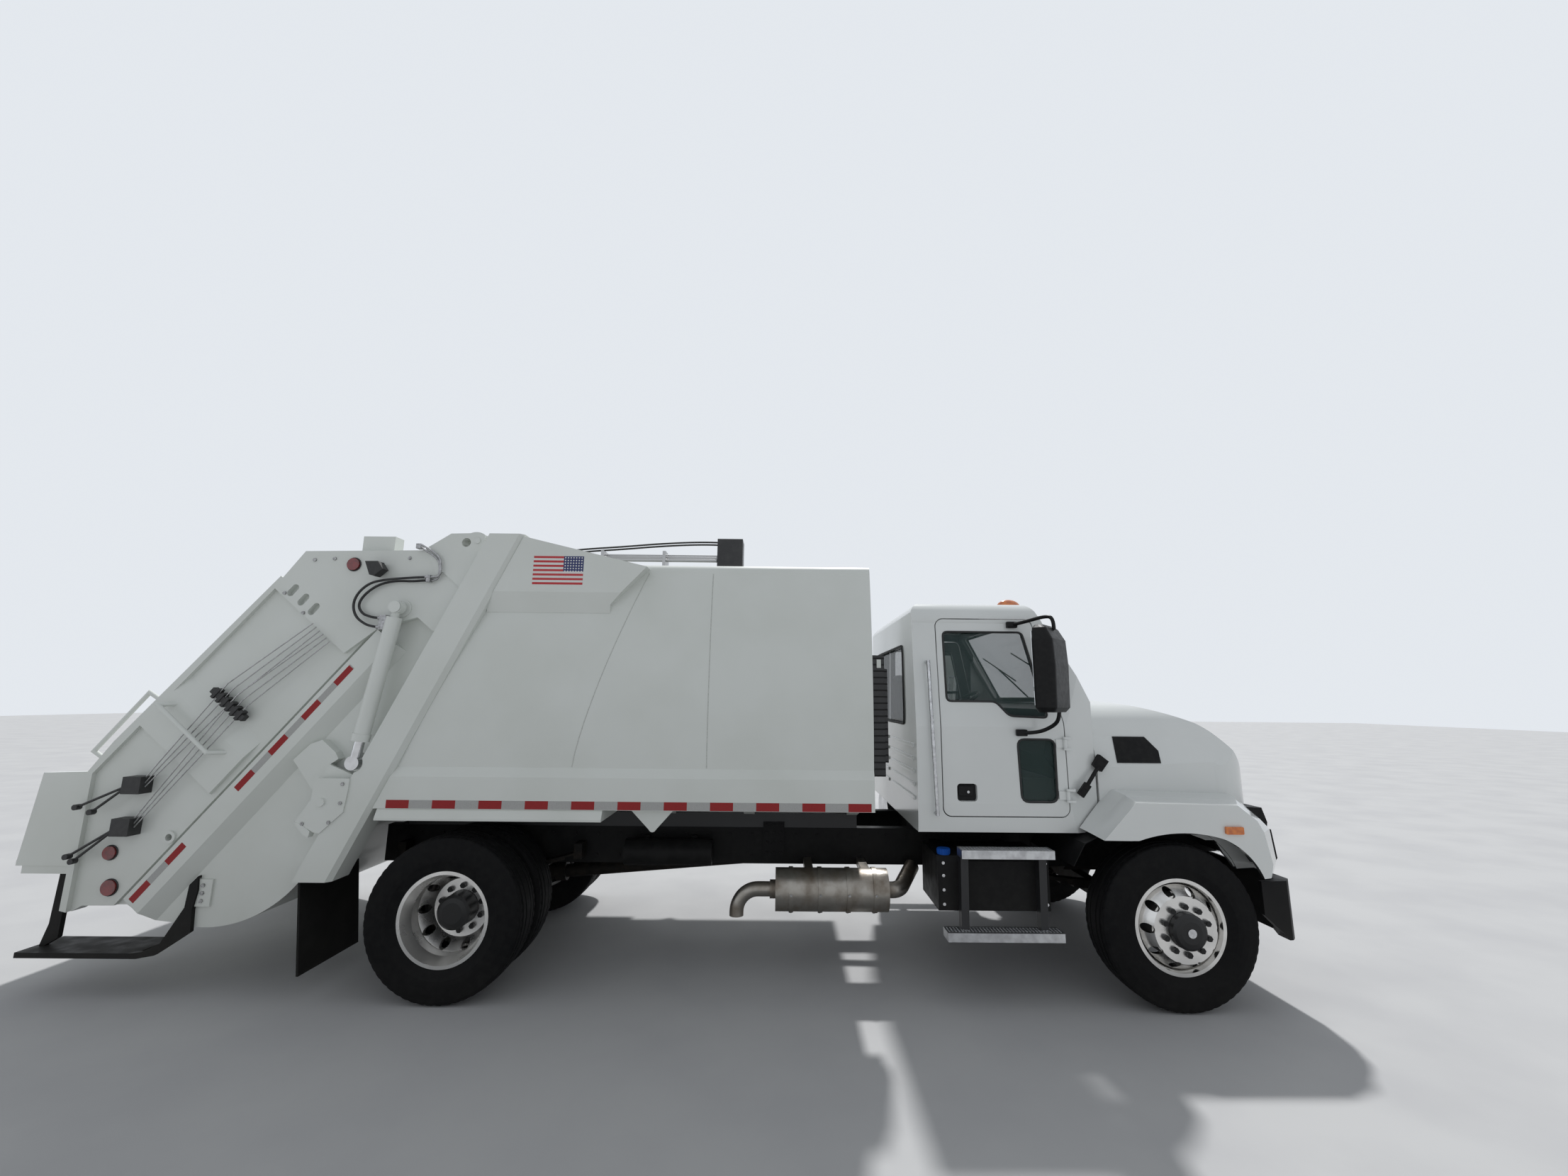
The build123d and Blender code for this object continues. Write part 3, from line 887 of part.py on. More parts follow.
inner_r = TROUGH_R - 28
hopper_half = GATE_INNER + 5
floor_profile = [(gate_x(1190), 1190), polar(TROUGH, TROUGH_R, trough_front),
                 (polar(TROUGH, TROUGH_R, -89), polar(TROUGH, TROUGH_R, trough_rear)), (-2420, 790), (-REAR_REACH, 790),
                 (-REAR_REACH, 826), (-2420, 826), polar(TROUGH, inner_r, trough_rear),
                 (polar(TROUGH, inner_r, -89), polar(TROUGH, inner_r, trough_front)), (gate_x(1190) - 30, 1190)]
tailgate += slab_y(floor_profile, -hopper_half, hopper_half)
tailgate += slab_y([(-1224, 2944), (-396, 2959), (-201, 3085), (-60, 3085), (-60, 3055), (-190, 3055), (-390, 2929),
                    (-1212, 2914), (-1700, 2327), (-1723, 2346)], -hopper_half, hopper_half)
tailgate += block((-2900, -2500), (-GATE_INNER, GATE_INNER), (740, 800))
tailgate += block((-866, -636), (-GATE_BASE + 5, -GATE_BASE + 110), (2940, 3072))
save("tailgate_shell", tailgate)

# Red round lamps, and the work lamps under the tailgate's top edge
LAMPS = (   # x, z, radius, wall's outer face
    (-2241, 897, 42, GATE_PANEL),
    (-2205, 682, 48, GATE_PANEL),
    (-868, 2850, 43, GATE_RAISED),
)
lamps = [drum_y((x, z), face + SEAT, face + 18, radius) for x, z, radius, face in LAMPS]
save("gate_lamps", *[mirrored(lamp) for lamp in lamps])
work_lamp = slab_y([(-730, 2856), (-640, 2857), (-602, 2803), (-657, 2753), (-690, 2760)], GATE_RAISED + 30, GATE_RAISED + 100)
work_lamp += bar((-660, GATE_RAISED + SEAT, 2810), (-660, GATE_RAISED + 50, 2810), 14)
save("work_lamps", mirrored(work_lamp))

# Grab rails: one across each wall, one along its rear edge
rail_face = GATE_PANEL + SEAT
across = bent_bar([(-1938, rail_face, 1867), (-2019, GATE_RAISED + 60, 1859), (-1642, GATE_RAISED + 60, 1549),
               (-1548, rail_face, 1546)], 14)
edge_y = GATE_BASE + 28
rear_edge = bent_bar([(-2390, edge_y, 1492), (-2477, edge_y, 1546), (-2173, edge_y, 1941), (-2082, edge_y, 1886)], 14)
rails = []
for rail in (across, rear_edge):
    rails.append(largest(rail - wall))
save("grab_rails", *[mirrored(rail) for rail in rails])

# Slide panel: plate with ribs and shoes, and lugs for the blade's hinge and its cylinders
blade_pin = along_track(TROUGH, SLIDE_STROKE, 0)      # parked: slide up, blade swept in
SWEEP_Y = 600
SWEEP_HEAD = (950, 150)       # cylinder's upper pin: along the track and off it
CHEEK = 20
sweep_top = along_track(blade_pin, *SWEEP_HEAD)
plate_half = GATE_INNER - 65
slide = track_plate(blade_pin, (75, 1000), (-22, 22), (-plate_half, plate_half))
slide += [track_plate(blade_pin, (at, at + 60), (20, 70), (-plate_half, plate_half)) for at in (90, 480, 930)]
slide += [track_plate(blade_pin, a, (-SHOE + RUNNING, SHOE - RUNNING), sorted((s * (plate_half - 25), s * (GATE_INNER - RUNNING))))
          for s in (-1, 1) for a in ((80, 300), (760, 980))]
lug_y = (plate_half - 70, plate_half)
for sign in (-1, 1):
    lug = drum_y(blade_pin, *sorted((sign * lug_y[0], sign * lug_y[1])), 62)
    lug += track_plate(blade_pin, (0, 100), (-62, 62), sorted((sign * lug_y[0], sign * lug_y[1])))
    slide += lug - drum_y(blade_pin, *sorted((sign * (lug_y[0] - 15), sign * (lug_y[1] + 15))), PIN_R + RUNNING)
    for y in (SWEEP_Y - 55, SWEEP_Y + 35):
        ear = slab_y([along_track(blade_pin, 900, 20), along_track(blade_pin, 900, 170), along_track(blade_pin, 1000, 190),
                      along_track(blade_pin, 1000, 20)], *sorted((sign * y, sign * (y + CHEEK))))
        slide += ear
    slide += drum_y(sweep_top, *sorted((sign * (SWEEP_Y - 55), sign * (SWEEP_Y + 55))), 22)
    # room for the blade's levers at the end of their sweep
    slide -= track_plate(blade_pin, (40, 175), (-40, 90), sorted((sign * (SWEEP_Y - 75), sign * (SWEEP_Y + 75))))
save("slide_panel", slide)

# Packer blade: hinge tube, curved plate and the levers its cylinders push
BLADE_REST = 300              # angle above forward when swept in
LEVER_R, LEVER_ANGLE = 260, 200


def blade_point(along, off):
    """Point of the parked blade at a distance from its hinge and off its plate."""
    x, z = polar(blade_pin, along, BLADE_REST)
    return (x - off * sin(radians(BLADE_REST)), z + off * cos(radians(BLADE_REST)))


tube_half = lug_y[0] - 10
blade = drum_y(blade_pin, -tube_half, tube_half, 52)
blade += slab_y([blade_point(20, -34), (blade_point(300, -56), blade_point(BLADE_R, -10)), blade_point(BLADE_R, 12),
                 (blade_point(300, -12), blade_point(20, 34))], -BLADE_HALF, BLADE_HALF)
for sign in (-1, 1):
    blade -= drum_y(blade_pin, *sorted((sign * tube_half, sign * (BLADE_HALF + 10))), 112)
blade += drum_y(blade_pin, -plate_half - 5, plate_half + 5, PIN_R)
lever_eye = polar(blade_pin, LEVER_R, LEVER_ANGLE)
for sign in (-1, 1):
    for y in (SWEEP_Y - 55, SWEEP_Y + 35):
        cheek = slab_y([polar(blade_pin, 50, LEVER_ANGLE - 60), polar(blade_pin, LEVER_R + 20, LEVER_ANGLE - 10),
                        polar(blade_pin, LEVER_R + 45, LEVER_ANGLE), polar(blade_pin, LEVER_R + 20, LEVER_ANGLE + 10),
                        polar(blade_pin, 50, LEVER_ANGLE + 70)], *sorted((sign * y, sign * (y + CHEEK))))
        blade += cheek
save("packer_blade", blade)


def cylinder_pair(top, foot, y, barrel_r, rod_r, barrel_end, bore_start, rod_start, pin_r, eye_r, half_width):
    """Barrel with its upper eye, and rod with its foot eye, for a cylinder lying in X and Z."""
    reach = hypot(foot[0] - top[0], foot[1] - top[1])
    ux, uz = (foot[0] - top[0]) / reach, (foot[1] - top[1]) / reach

    def on_axis(distance):
        return (top[0] + ux * distance, y, top[1] + uz * distance)

    barrel = drum_y(top, y - half_width, y + half_width, eye_r)
    barrel += bar(on_axis(20), on_axis(80), half_width - 1)
    barrel += bar(on_axis(72), on_axis(barrel_end), barrel_r)
    barrel += bar(on_axis(barrel_end - 50), on_axis(barrel_end - 2), barrel_r + 6)
    barrel -= bar(on_axis(bore_start), on_axis(barrel_end + 10), rod_r + RUNNING)
    barrel -= drum_y(top, y - half_width - 10, y + half_width + 10, pin_r + RUNNING)
    rod = bar(on_axis(rod_start), on_axis(reach - eye_r + 8), rod_r)
    rod += drum_y(foot, y - half_width, y + half_width, eye_r)
    return barrel, rod


lift_barrel, lift_rod = cylinder_pair(LIFT_TOP, LIFT_FOOT, LIFT_Y, 50, 32, 915, 100, 110, 28, 46, LIFT_HALF)
save("lift_cylinder_barrels", mirrored(lift_barrel))
save("lift_cylinder_rods", mirrored(lift_rod))
sweep_barrel, sweep_rod = cylinder_pair(sweep_top, lever_eye, SWEEP_Y, 45, 28, 700, 110, 540, 22, 40, 28)
save("sweep_cylinder_barrels", mirrored(sweep_barrel))
save("sweep_cylinder_rods", mirrored(sweep_rod))

# Riding steps at the tailgate's rear corners, each hung on two bent brackets
STEP_Z = 285
front_bracket = [(-1692, 700), (-1642, 756), (-1633, 667), (-1650, 551), (-1638, 414), (-1738, 345), (-1847, 272),
                 (-1960, STEP_Z - 33), (-2040, STEP_Z - 33), (-2040, STEP_Z - 4), (-1930, STEP_Z + 8), (-1821, 345),
                 (-1701, 562), (-1694, 666)]
rear_bracket = [(-2669, 740 - SEAT), (-2605, 740 - SEAT), (-2605, 333), (-2700, STEP_Z - 10), (-2720, STEP_Z - 10),
                (-2680, 420)]
step_y = (850, GATE_BASE + 27)
step = block((-2740, -1970), step_y, (STEP_Z - 33, STEP_Z))
step -= block((-2710, -2000), (step_y[0] + 30, step_y[1] - 45), (STEP_Z - 40, STEP_Z - 10))
step += slab_y(front_bracket, GATE_BASE + SEAT, GATE_BASE + 27)
step += slab_y(rear_bracket, GATE_INNER - 60, GATE_INNER - 30)
step -= slab_y([(-1673, 560), (-1548, 560), (-1548, 740), (-1673, 740)], GATE_BASE - 5, GATE_BASE + 14 + SEAT)
save("riding_steps", mirrored(largest(step)))

# Valve blocks with hand levers on the right wall of the tailgate
levers = []
for x, z, ends in ((-2105, 1335, ((-2440, 1195), (-2340, 1165))), (-2130, 1070, ((-2440, 888), (-2400, 860)))):
    valve = block((x - 60, x + 60), (-GATE_RAISED - 60, -GATE_PANEL - SEAT), (z - 55, z + 55))
    for ex, ez in ends:
        valve += bar((x - 30, -GATE_RAISED - 40, z), (ex, -GATE_RAISED - 48, ez), 8)
        valve += drum_y((ex, ez), -GATE_RAISED - 66, -GATE_RAISED - 30, 18)
    levers.append(valve)
save("control_levers", *levers)
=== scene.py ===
import bpy, bmesh, math
from mathutils import Matrix, Vector


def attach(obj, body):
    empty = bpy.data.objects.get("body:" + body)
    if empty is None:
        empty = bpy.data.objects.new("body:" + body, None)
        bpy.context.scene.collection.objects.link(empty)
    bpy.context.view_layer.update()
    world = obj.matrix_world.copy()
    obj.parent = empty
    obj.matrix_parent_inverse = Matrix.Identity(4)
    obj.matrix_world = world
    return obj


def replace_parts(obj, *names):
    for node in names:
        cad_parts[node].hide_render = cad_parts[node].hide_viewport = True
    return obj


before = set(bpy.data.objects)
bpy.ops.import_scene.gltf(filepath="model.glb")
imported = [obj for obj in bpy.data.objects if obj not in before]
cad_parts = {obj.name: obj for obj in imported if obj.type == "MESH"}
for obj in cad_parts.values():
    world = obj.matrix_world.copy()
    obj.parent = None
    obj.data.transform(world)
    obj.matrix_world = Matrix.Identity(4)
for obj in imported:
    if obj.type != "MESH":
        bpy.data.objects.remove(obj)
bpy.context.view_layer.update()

# Camera: a wide lens at eye height beside the truck, tilted up, as in the photograph.
# Its place and angles were solved from the wheels, the body's edges and the ground.
def placed(name, data):
    """Object in the scene that shows given data."""
    thing = bpy.data.objects.new(name, data)
    bpy.context.scene.collection.objects.link(thing)
    return thing


FOCAL_PX, IMAGE_W, SENSOR_W = 887.04, 2212, 36.0
EYE = (0.8414, -5.5609, 1.9424)
pitch, yaw, roll = math.radians(9.954), math.radians(0.341), math.radians(0.560)
camera_data = bpy.data.cameras.new("camera")
camera_data.sensor_width = SENSOR_W
camera_data.lens = SENSOR_W * FOCAL_PX / IMAGE_W
forward = Vector((math.sin(yaw) * math.cos(pitch), math.cos(yaw) * math.cos(pitch), math.sin(pitch)))
right = Vector((math.cos(yaw), -math.sin(yaw), 0))
up = right.cross(forward)
tilted_right = right * math.cos(roll) + up * math.sin(roll)
tilted_up = up * math.cos(roll) - right * math.sin(roll)
turn = Matrix((tilted_right, tilted_up, -forward)).transposed()
camera = placed("camera", camera_data)
camera.matrix_world = Matrix.Translation(EYE) @ turn.to_4x4()
bpy.context.scene.camera = camera

# Hydraulic hoses: four rubber hoses, two on each side of the tailgate, that loop back from the
# steel tubes under the hinge plate and down into the port block beside the lift cylinder.
ORIGIN_X = 1318.5   # the frame's origin ahead of the rear axle, where the drawing's X starts


def frame_x(x):
    """X in metres in the frame, from the drawing's millimetres."""
    return (x - ORIGIN_X) / 1000


def at(x, y, z):
    """Point in metres in the frame, from the drawing's millimetres."""
    return Vector((frame_x(x), y / 1000, z / 1000))


def shader_of(material):
    """The material's one shader."""
    return material.node_tree.nodes["Principled BSDF"]


def new_finish(name, constants):
    """Material with constants on its shader's own sockets."""
    material = bpy.data.materials.new(name)
    material.use_nodes = True
    for socket, value in constants.items():
        shader_of(material).inputs[socket].default_value = value
    return material


def texture(material, kind, **settings):
    """Texture node of a kind, laid out by the piece's own coordinates."""
    nodes = material.node_tree.nodes
    node = nodes.new(f"ShaderNodeTex{kind}")
    for socket, value in settings.items():
        node.inputs[socket].default_value = value
    material.node_tree.links.new(nodes.new("ShaderNodeTexCoord").outputs["Object"], node.inputs["Vector"])
    return node


def ranged(material, value, low, high, first=0.0, last=1.0):
    """A socket's value carried over from one range to another."""
    node = material.node_tree.nodes.new("ShaderNodeMapRange")
    for socket, number in (("From Min", low), ("From Max", high), ("To Min", first), ("To Max", last)):
        node.inputs[socket].default_value = number
    material.node_tree.links.new(value, node.inputs["Value"])
    return node.outputs["Result"]


def blend(material, factor, first, second):
    """Mix of two colours, each a tuple or a socket."""
    node, links = material.node_tree.nodes.new("ShaderNodeMix"), material.node_tree.links
    node.data_type = "RGBA"
    links.new(factor, node.inputs["Factor"])
    for socket, value in ((node.inputs[6], first), (node.inputs[7], second)):
        if isinstance(value, tuple):
            socket.default_value = (*value, 1)
        else:
            links.new(value, socket)
    return node.outputs[2]


def raised(material, height, strength, distance):
    """Fine relief from a socket's value."""
    node, links = material.node_tree.nodes.new("ShaderNodeBump"), material.node_tree.links
    node.inputs["Strength"].default_value, node.inputs["Distance"].default_value = strength, distance
    links.new(height, node.inputs["Height"])
    links.new(node.outputs["Normal"], shader_of(material).inputs["Normal"])


def surface(name, tone, worn, metallic=0.0, rough=(0.35, 0.5), grain=6.0, relief=0.03, fine=60.0, coat=0.0, spec=0.5):
    """Finish whose colour, gloss and relief vary with noise at a real scale. Coat is a clear
    gloss over it, and spec is how much it mirrors when it isn't metal."""
    material = new_finish(name, {"Metallic": metallic, "Coat Weight": coat, "Coat Roughness": 0.08,
                                 "Specular IOR Level": spec})
    shader, links = shader_of(material), material.node_tree.links
    broad = texture(material, "Noise", Scale=grain, Detail=5.0).outputs["Fac"]
    links.new(blend(material, ranged(material, broad, 0.4, 0.66), tone, worn), shader.inputs["Base Color"])
    links.new(ranged(material, broad, 0.35, 0.65, *rough), shader.inputs["Roughness"])
    raised(material, texture(material, "Noise", Scale=fine).outputs["Fac"], relief, 0.01)
    return material


def carried(piece, body):
    """Piece moves with a body."""
    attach(piece, body)
    return piece


hose_rubber = surface("hose_rubber", (0.012, 0.012, 0.013), (0.03, 0.03, 0.03), 0.0, (0.4, 0.6), 40, 0.15, 400)
hose_steel = surface("hose_fitting_steel", (0.42, 0.42, 0.43), (0.3, 0.3, 0.3), 1.0, (0.25, 0.45), 60, 0.05, 200)
HOSES = (   # name, route in X, outwards and Z, length in metres
    ("outer", ((-317, 1204, 2757), (-360, 1206, 2756), (-422, 1214, 2751), (-601, 1222, 2733), (-704, 1224, 2709),
               (-778, 1224, 2639), (-806, 1222, 2555), (-780, 1216, 2470), (-713, 1208, 2420), (-660, 1204, 2405),
               (-618, 1202, 2402)), 0.84),
    ("inner", ((-315, 1189, 2737), (-358, 1190, 2735), (-420, 1192, 2728), (-541, 1196, 2730), (-650, 1198, 2706),
               (-741, 1198, 2640), (-786, 1198, 2560), (-752, 1196, 2496), (-690, 1194, 2474), (-655, 1193, 2468),
               (-618, 1193, 2466)), 0.74),
)
HOSE_R = 0.0085
SIDES = (("right", -1), ("left", 1))
for side, sign in SIDES:
    for label, route, length in HOSES:
        data = bpy.data.curves.new(f"hose_{label}_{side}", "CURVE")
        data.dimensions = "3D"
        data.bevel_depth, data.bevel_resolution, data.resolution_u = HOSE_R, 4, 12
        data.use_fill_caps = True
        line = data.splines.new("NURBS")
        line.points.add(len(route) - 1)
        for point, (x, y, z) in zip(line.points, route):
            point.co = (*at(x, sign * y, z), 1)
        line.order_u, line.use_endpoint_u = 3, True
        data.materials.append(hose_rubber)
        hose = carried(placed(f"hose_{label}_{side}", data), "tailgate")
        x, y, z = route[0]


# Fittings of the hoses: a drilled port block bolted to the wall beside the lift cylinder, hex
# swivel nuts on both ends, and the bent steel tubes that come round from under the hinge.
def made(name, mesh, material, body):
    """Object with one material that rides on a body."""
    mesh.materials.clear()
    mesh.materials.append(material)
    return carried(placed(name, mesh), body)


def closed_mesh(name, mesh, outwards=False):
    """Data of a working mesh, which is freed; its faces turn outwards if asked."""
    if outwards:
        bmesh.ops.recalc_face_normals(mesh, faces=mesh.faces[:])
    data = bpy.data.meshes.new(name)
    mesh.to_mesh(data)
    mesh.free()
    return data


def blocks(name, boxes, material, body, bevel=0.002):
    """Boxes given by opposite corners in the drawing's millimetres, with broken edges."""
    mesh = bmesh.new()
    for low, high in boxes:
        a, b = at(*low), at(*high)
        centre, size = (a + b) / 2, [abs(v) for v in (b - a)]
        bmesh.ops.create_cube(mesh, size=1, matrix=Matrix.Translation(centre) @ Matrix.Diagonal((*size, 1)))
    if bevel:
        bmesh.ops.bevel(mesh, geom=mesh.edges[:], offset=bevel, segments=2, affect="EDGES", profile=0.6)
    return made(name, closed_mesh(name, mesh), material, body)


def lofted(mesh, rings, capped=True):
    """Faces from each closed ring of vertices to the next, and over the two end rings."""
    for low, high in zip(rings, rings[1:]):
        for i in range(len(low)):
            j = (i + 1) % len(low)
            mesh.faces.new((low[i], low[j], high[j], high[i]))
    if capped:
        mesh.faces.new(rings[0])
        mesh.faces.new(rings[-1])


def prism(name, outlines, material, body, bevel=0.001):
    """Flat outlines in X and Z between two values of Y, in the drawing's millimetres."""
    mesh = bmesh.new()
    for points, low, high in outlines:
        lofted(mesh, [[mesh.verts.new(at(x, y, z)) for x, z in points] for y in (low, high)])
    bmesh.ops.recalc_face_normals(mesh, faces=mesh.faces[:])
    if bevel:
        bmesh.ops.bevel(mesh, geom=mesh.edges[:], offset=bevel, segments=1, affect="EDGES")
    return made(name, closed_mesh(name, mesh), material, body)


def plain_mesh(maker, name):
    """What an object gives when evaluated, as a plain mesh; the maker is removed."""
    graph = bpy.context.evaluated_depsgraph_get()
    mesh = bpy.data.meshes.new_from_object(maker.evaluated_get(graph))
    mesh.name = name
    bpy.data.objects.remove(maker)
    return mesh


def tubes(name, paths, radius, material, body, closed=False, soft=False):
    """Round bars along paths in the drawing's millimetres; soft ones are smooth lines."""
    data = bpy.data.curves.new(name + "_line", "CURVE")
    data.dimensions = "3D"
    data.bevel_depth, data.bevel_resolution, data.resolution_u = radius / 1000, 3, 6
    data.use_fill_caps = True
    for path in paths:
        line = data.splines.new("NURBS" if soft else "POLY")
        line.points.add(len(path) - 1)
        for point, place in zip(line.points, path):
            point.co = (*at(*place), 1)
        if soft:
            line.order_u, line.use_endpoint_u = 3, not closed
        line.use_cyclic_u = closed
    mesh = plain_mesh(placed(name + "_line", data), name)
    mesh.shade_smooth()
    return made(name, mesh, material, body)


def both_sides(path):
    """A path or a box's two corners on the truck's left, and its mirror image on the right."""
    return [path, [(x, -y, z) for x, y, z in path]]


GATE_WALL = 1164   # outer face of the tailgate's plates
for side, sign in SIDES:
    blocks(f"hose_port_block_{side}", [((-618, sign * GATE_WALL, 2384), (-572, sign * 1214, 2486))], hose_steel,
           "tailgate", 0.003)
ends = []
for _, route, _ in HOSES:
    for (x, y, z), dx in ((route[0], 16), (route[-1], 10)):
        ends += both_sides([(x - 16, y, z), (x + dx, y, z)])
tubes("hose_swivel_nuts", ends, 14, hose_steel, "tailgate")
STEEL_TUBES = (   # distance outwards, route in X and Z
    (1204, ((-312, 2757), (-262, 2757), (-229, 2775), (-236, 2850), (-246, 2898), (-300, 2945), (-380, 2989))),
    (1189, ((-310, 2737), (-270, 2738), (-247, 2757), (-250, 2840), (-262, 2884), (-310, 2925), (-400, 2975))),
)
steel_tubes = []
for y, path in STEEL_TUBES:
    steel_tubes += both_sides([(x, y, z) for x, z in path])
tubes("lift_steel_tubes", steel_tubes, 7, hose_steel, "tailgate", soft=True)
blocks("tube_clamps", both_sides([(-322, 1178, 2722), (-296, 1216, 2772)])
       + both_sides([(-420, GATE_WALL, 2962), (-385, 1214, 2998)]), hose_steel, "tailgate", 0.003)

# White paint: sprayed two-pack enamel over sheet steel on the body, the tailgate and the cab.
# Road dust dulls it towards the bottom, and the packer and the ejector are scoured by the load.
def masked(material, factor, colour, metallic, rough):
    """Second finish where a factor is 1, mixed into one shader."""
    nodes, links = material.node_tree.nodes, material.node_tree.links
    for socket, value in (("Base Color", (*colour, 1)), ("Metallic", metallic), ("Roughness", rough)):
        target = shader_of(material).inputs[socket]
        mix = nodes.new("ShaderNodeMix")
        mix.data_type = "RGBA" if socket == "Base Color" else "FLOAT"
        first, second, out = (6, 7, 2) if socket == "Base Color" else (2, 3, 0)
        if target.is_linked:
            links.new(target.links[0].from_socket, mix.inputs[first])
        else:
            mix.inputs[first].default_value = target.default_value
        mix.inputs[second].default_value = value
        links.new(factor, mix.inputs["Factor"])
        links.new(mix.outputs[out], target)


def ask(material, operation, first, second=None):
    """One Math node; each input is a socket or a number."""
    node = material.node_tree.nodes.new("ShaderNodeMath")
    node.operation = operation
    for socket, value in zip(node.inputs, (first, second)):
        if value is None:
            continue
        if isinstance(value, (int, float)):
            socket.default_value = value
        else:
            material.node_tree.links.new(value, socket)
    return node.outputs[0]


def place_of(material):
    """X, Y and Z of the surface point, as three sockets."""
    nodes, links = material.node_tree.nodes, material.node_tree.links
    spot = nodes.new("ShaderNodeTexCoord")
    parts = nodes.new("ShaderNodeSeparateXYZ")
    links.new(spot.outputs["Object"], parts.inputs[0])
    return parts.outputs["X"], parts.outputs["Y"], parts.outputs["Z"]


def all_of(material, *masks):
    """1 where each of several masks is 1."""
    whole = masks[0]
    for mask in masks[1:]:
        whole = ask(material, "MULTIPLY", whole, mask)
    return whole


def between(material, value, low, high):
    """1 where a socket's value lies between two numbers."""
    return all_of(material, ask(material, "GREATER_THAN", value, low), ask(material, "LESS_THAN", value, high))


def dusty(material, low, high, amount, tone=(0.42, 0.39, 0.33)):
    """Dust that fades out from one height to another, broken up by noise."""
    fade = ranged(material, place_of(material)[2], low, high, amount, 0.0)
    cloud = texture(material, "Noise", Scale=3.5, Detail=8.0).outputs["Fac"]
    masked(material, ask(material, "MULTIPLY", fade, cloud), tone, 0.0, 0.7)
    return material


def paint(material, *names):
    """Give CAD nodes a finish through their own material slots."""
    for name in names:
        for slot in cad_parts[name].material_slots:
            slot.material = material


WHITE, WHITE_WORN = (0.70, 0.725, 0.69), (0.665, 0.69, 0.65)
body_paint = dusty(surface("white_body_paint", WHITE, WHITE_WORN, 0.0, (0.3, 0.42), 1.7, 0.012, 9, 0.25), 0.4, 1.6, 0.3)
paint(body_paint, "body_shell", "body_rear_frame", "tailgate_shell", "lift_cylinder_barrels", "grab_rails")
cab_paint = dusty(surface("white_cab_paint", (0.74, 0.76, 0.745), (0.715, 0.735, 0.72), 0.0, (0.16, 0.24), 2.2, 0.004,
                          14, 0.6), 0.5, 1.5, 0.16)
paint(cab_paint, "cab_shell", "door_left", "door_right")
scoured = dusty(surface("scoured_white_steel", (0.62, 0.64, 0.60), (0.42, 0.42, 0.39), 0.1, (0.45, 0.7), 5, 0.05, 50),
                0.4, 2.0, 0.5)
paint(scoured, "slide_panel", "packer_blade", "sweep_cylinder_barrels", "ejector_panel")

# Cab lining: dark moulded trim on the sheets inside the cab, which shows through the windows.
# It lies within the leaning sides, behind the leaning windscreen and below the roof.
FRONT = 4768                            # front axle ahead of the rear one
CAB_BEND, CAB_LEAN = 1760, 80 / 740     # the sides lean in above this height
SCREEN_FOOT, SCREEN_LEAN = 1935, 0.54   # the windscreen leans back above this height
LINING_X, LINING_HALF, LINING_TOP, LINING_SCREEN = (3150, 4128), 1.019, 2.6, 4375


def leant(value, start, slope):
    """How far a leaning sheet has come in at a height, in metres."""
    above = ask(cab_paint, "MAXIMUM", ask(cab_paint, "SUBTRACT", value, start / 1000), 0.0)
    return ask(cab_paint, "MULTIPLY", above, slope)


trim_x, trim_y, trim_z = place_of(cab_paint)
aside = ask(cab_paint, "ADD", ask(cab_paint, "ABSOLUTE", trim_y), leant(trim_z, CAB_BEND, CAB_LEAN))
ahead = ask(cab_paint, "ADD", trim_x, leant(trim_z, SCREEN_FOOT, SCREEN_LEAN))
lined = all_of(cab_paint, ask(cab_paint, "LESS_THAN", aside, LINING_HALF),
               ask(cab_paint, "LESS_THAN", ahead, frame_x(LINING_SCREEN)),
               between(cab_paint, trim_x, *(frame_x(x) for x in LINING_X)),
               ask(cab_paint, "LESS_THAN", trim_z, LINING_TOP))
masked(cab_paint, lined, (0.04, 0.042, 0.045), 0.0, 0.8)

# Hood: moulded panel in the cab's white outside. Inside it is bare and black, on the faces that
# look towards the middle of the engine bay.
BAY = (FRONT, 0, 700)
hood_paint = cab_paint.copy()
hood_nodes, hood_links = hood_paint.node_tree.nodes, hood_paint.node_tree.links
skin = hood_nodes.new("ShaderNodeTexCoord")
from_bay, facing_out = (hood_nodes.new("ShaderNodeVectorMath") for _ in range(2))
from_bay.operation, facing_out.operation = "SUBTRACT", "DOT_PRODUCT"
from_bay.inputs[1].default_value = at(*BAY)
hood_links.new(skin.outputs["Object"], from_bay.inputs[0])
hood_links.new(from_bay.outputs["Vector"], facing_out.inputs[0])
hood_links.new(skin.outputs["Normal"], facing_out.inputs[1])
masked(hood_paint, ask(hood_paint, "LESS_THAN", facing_out.outputs["Value"], 0.0), (0.008, 0.008, 0.008), 0.0, 0.8)
paint(hood_paint, "hood")

# Subframe: welded plate under the body. Its shelves and gussets are white like the body, and
# the long sills that lie on the chassis rails are black.
SILL_HALF = 0.445
sill_paint = dusty(surface("subframe_paint", WHITE, WHITE_WORN, 0.0, (0.35, 0.5), 2, 0.02, 12), 0.4, 1.6, 0.4)
on_sill = ask(sill_paint, "LESS_THAN", ask(sill_paint, "ABSOLUTE", place_of(sill_paint)[1]), SILL_HALF)
masked(sill_paint, on_sill, (0.02, 0.02, 0.021), 0.0, 0.5)
paint(sill_paint, "body_subframe")

# Weld seams of the body: the side sheets meet on a raised vertical seam and a long curved one,
# both dressed and painted over. They follow the bulge of the side.
seam_paint = surface("painted_weld", (0.6, 0.62, 0.585), (0.5, 0.52, 0.49), 0.0, (0.4, 0.6), 90, 0.4, 300)


def body_side(z):
    """Half width of the body's bulged side at a height."""
    rise = (z - 2147) / 678
    return 1150 - 40 * rise + 47 * (1 - rise * rise)


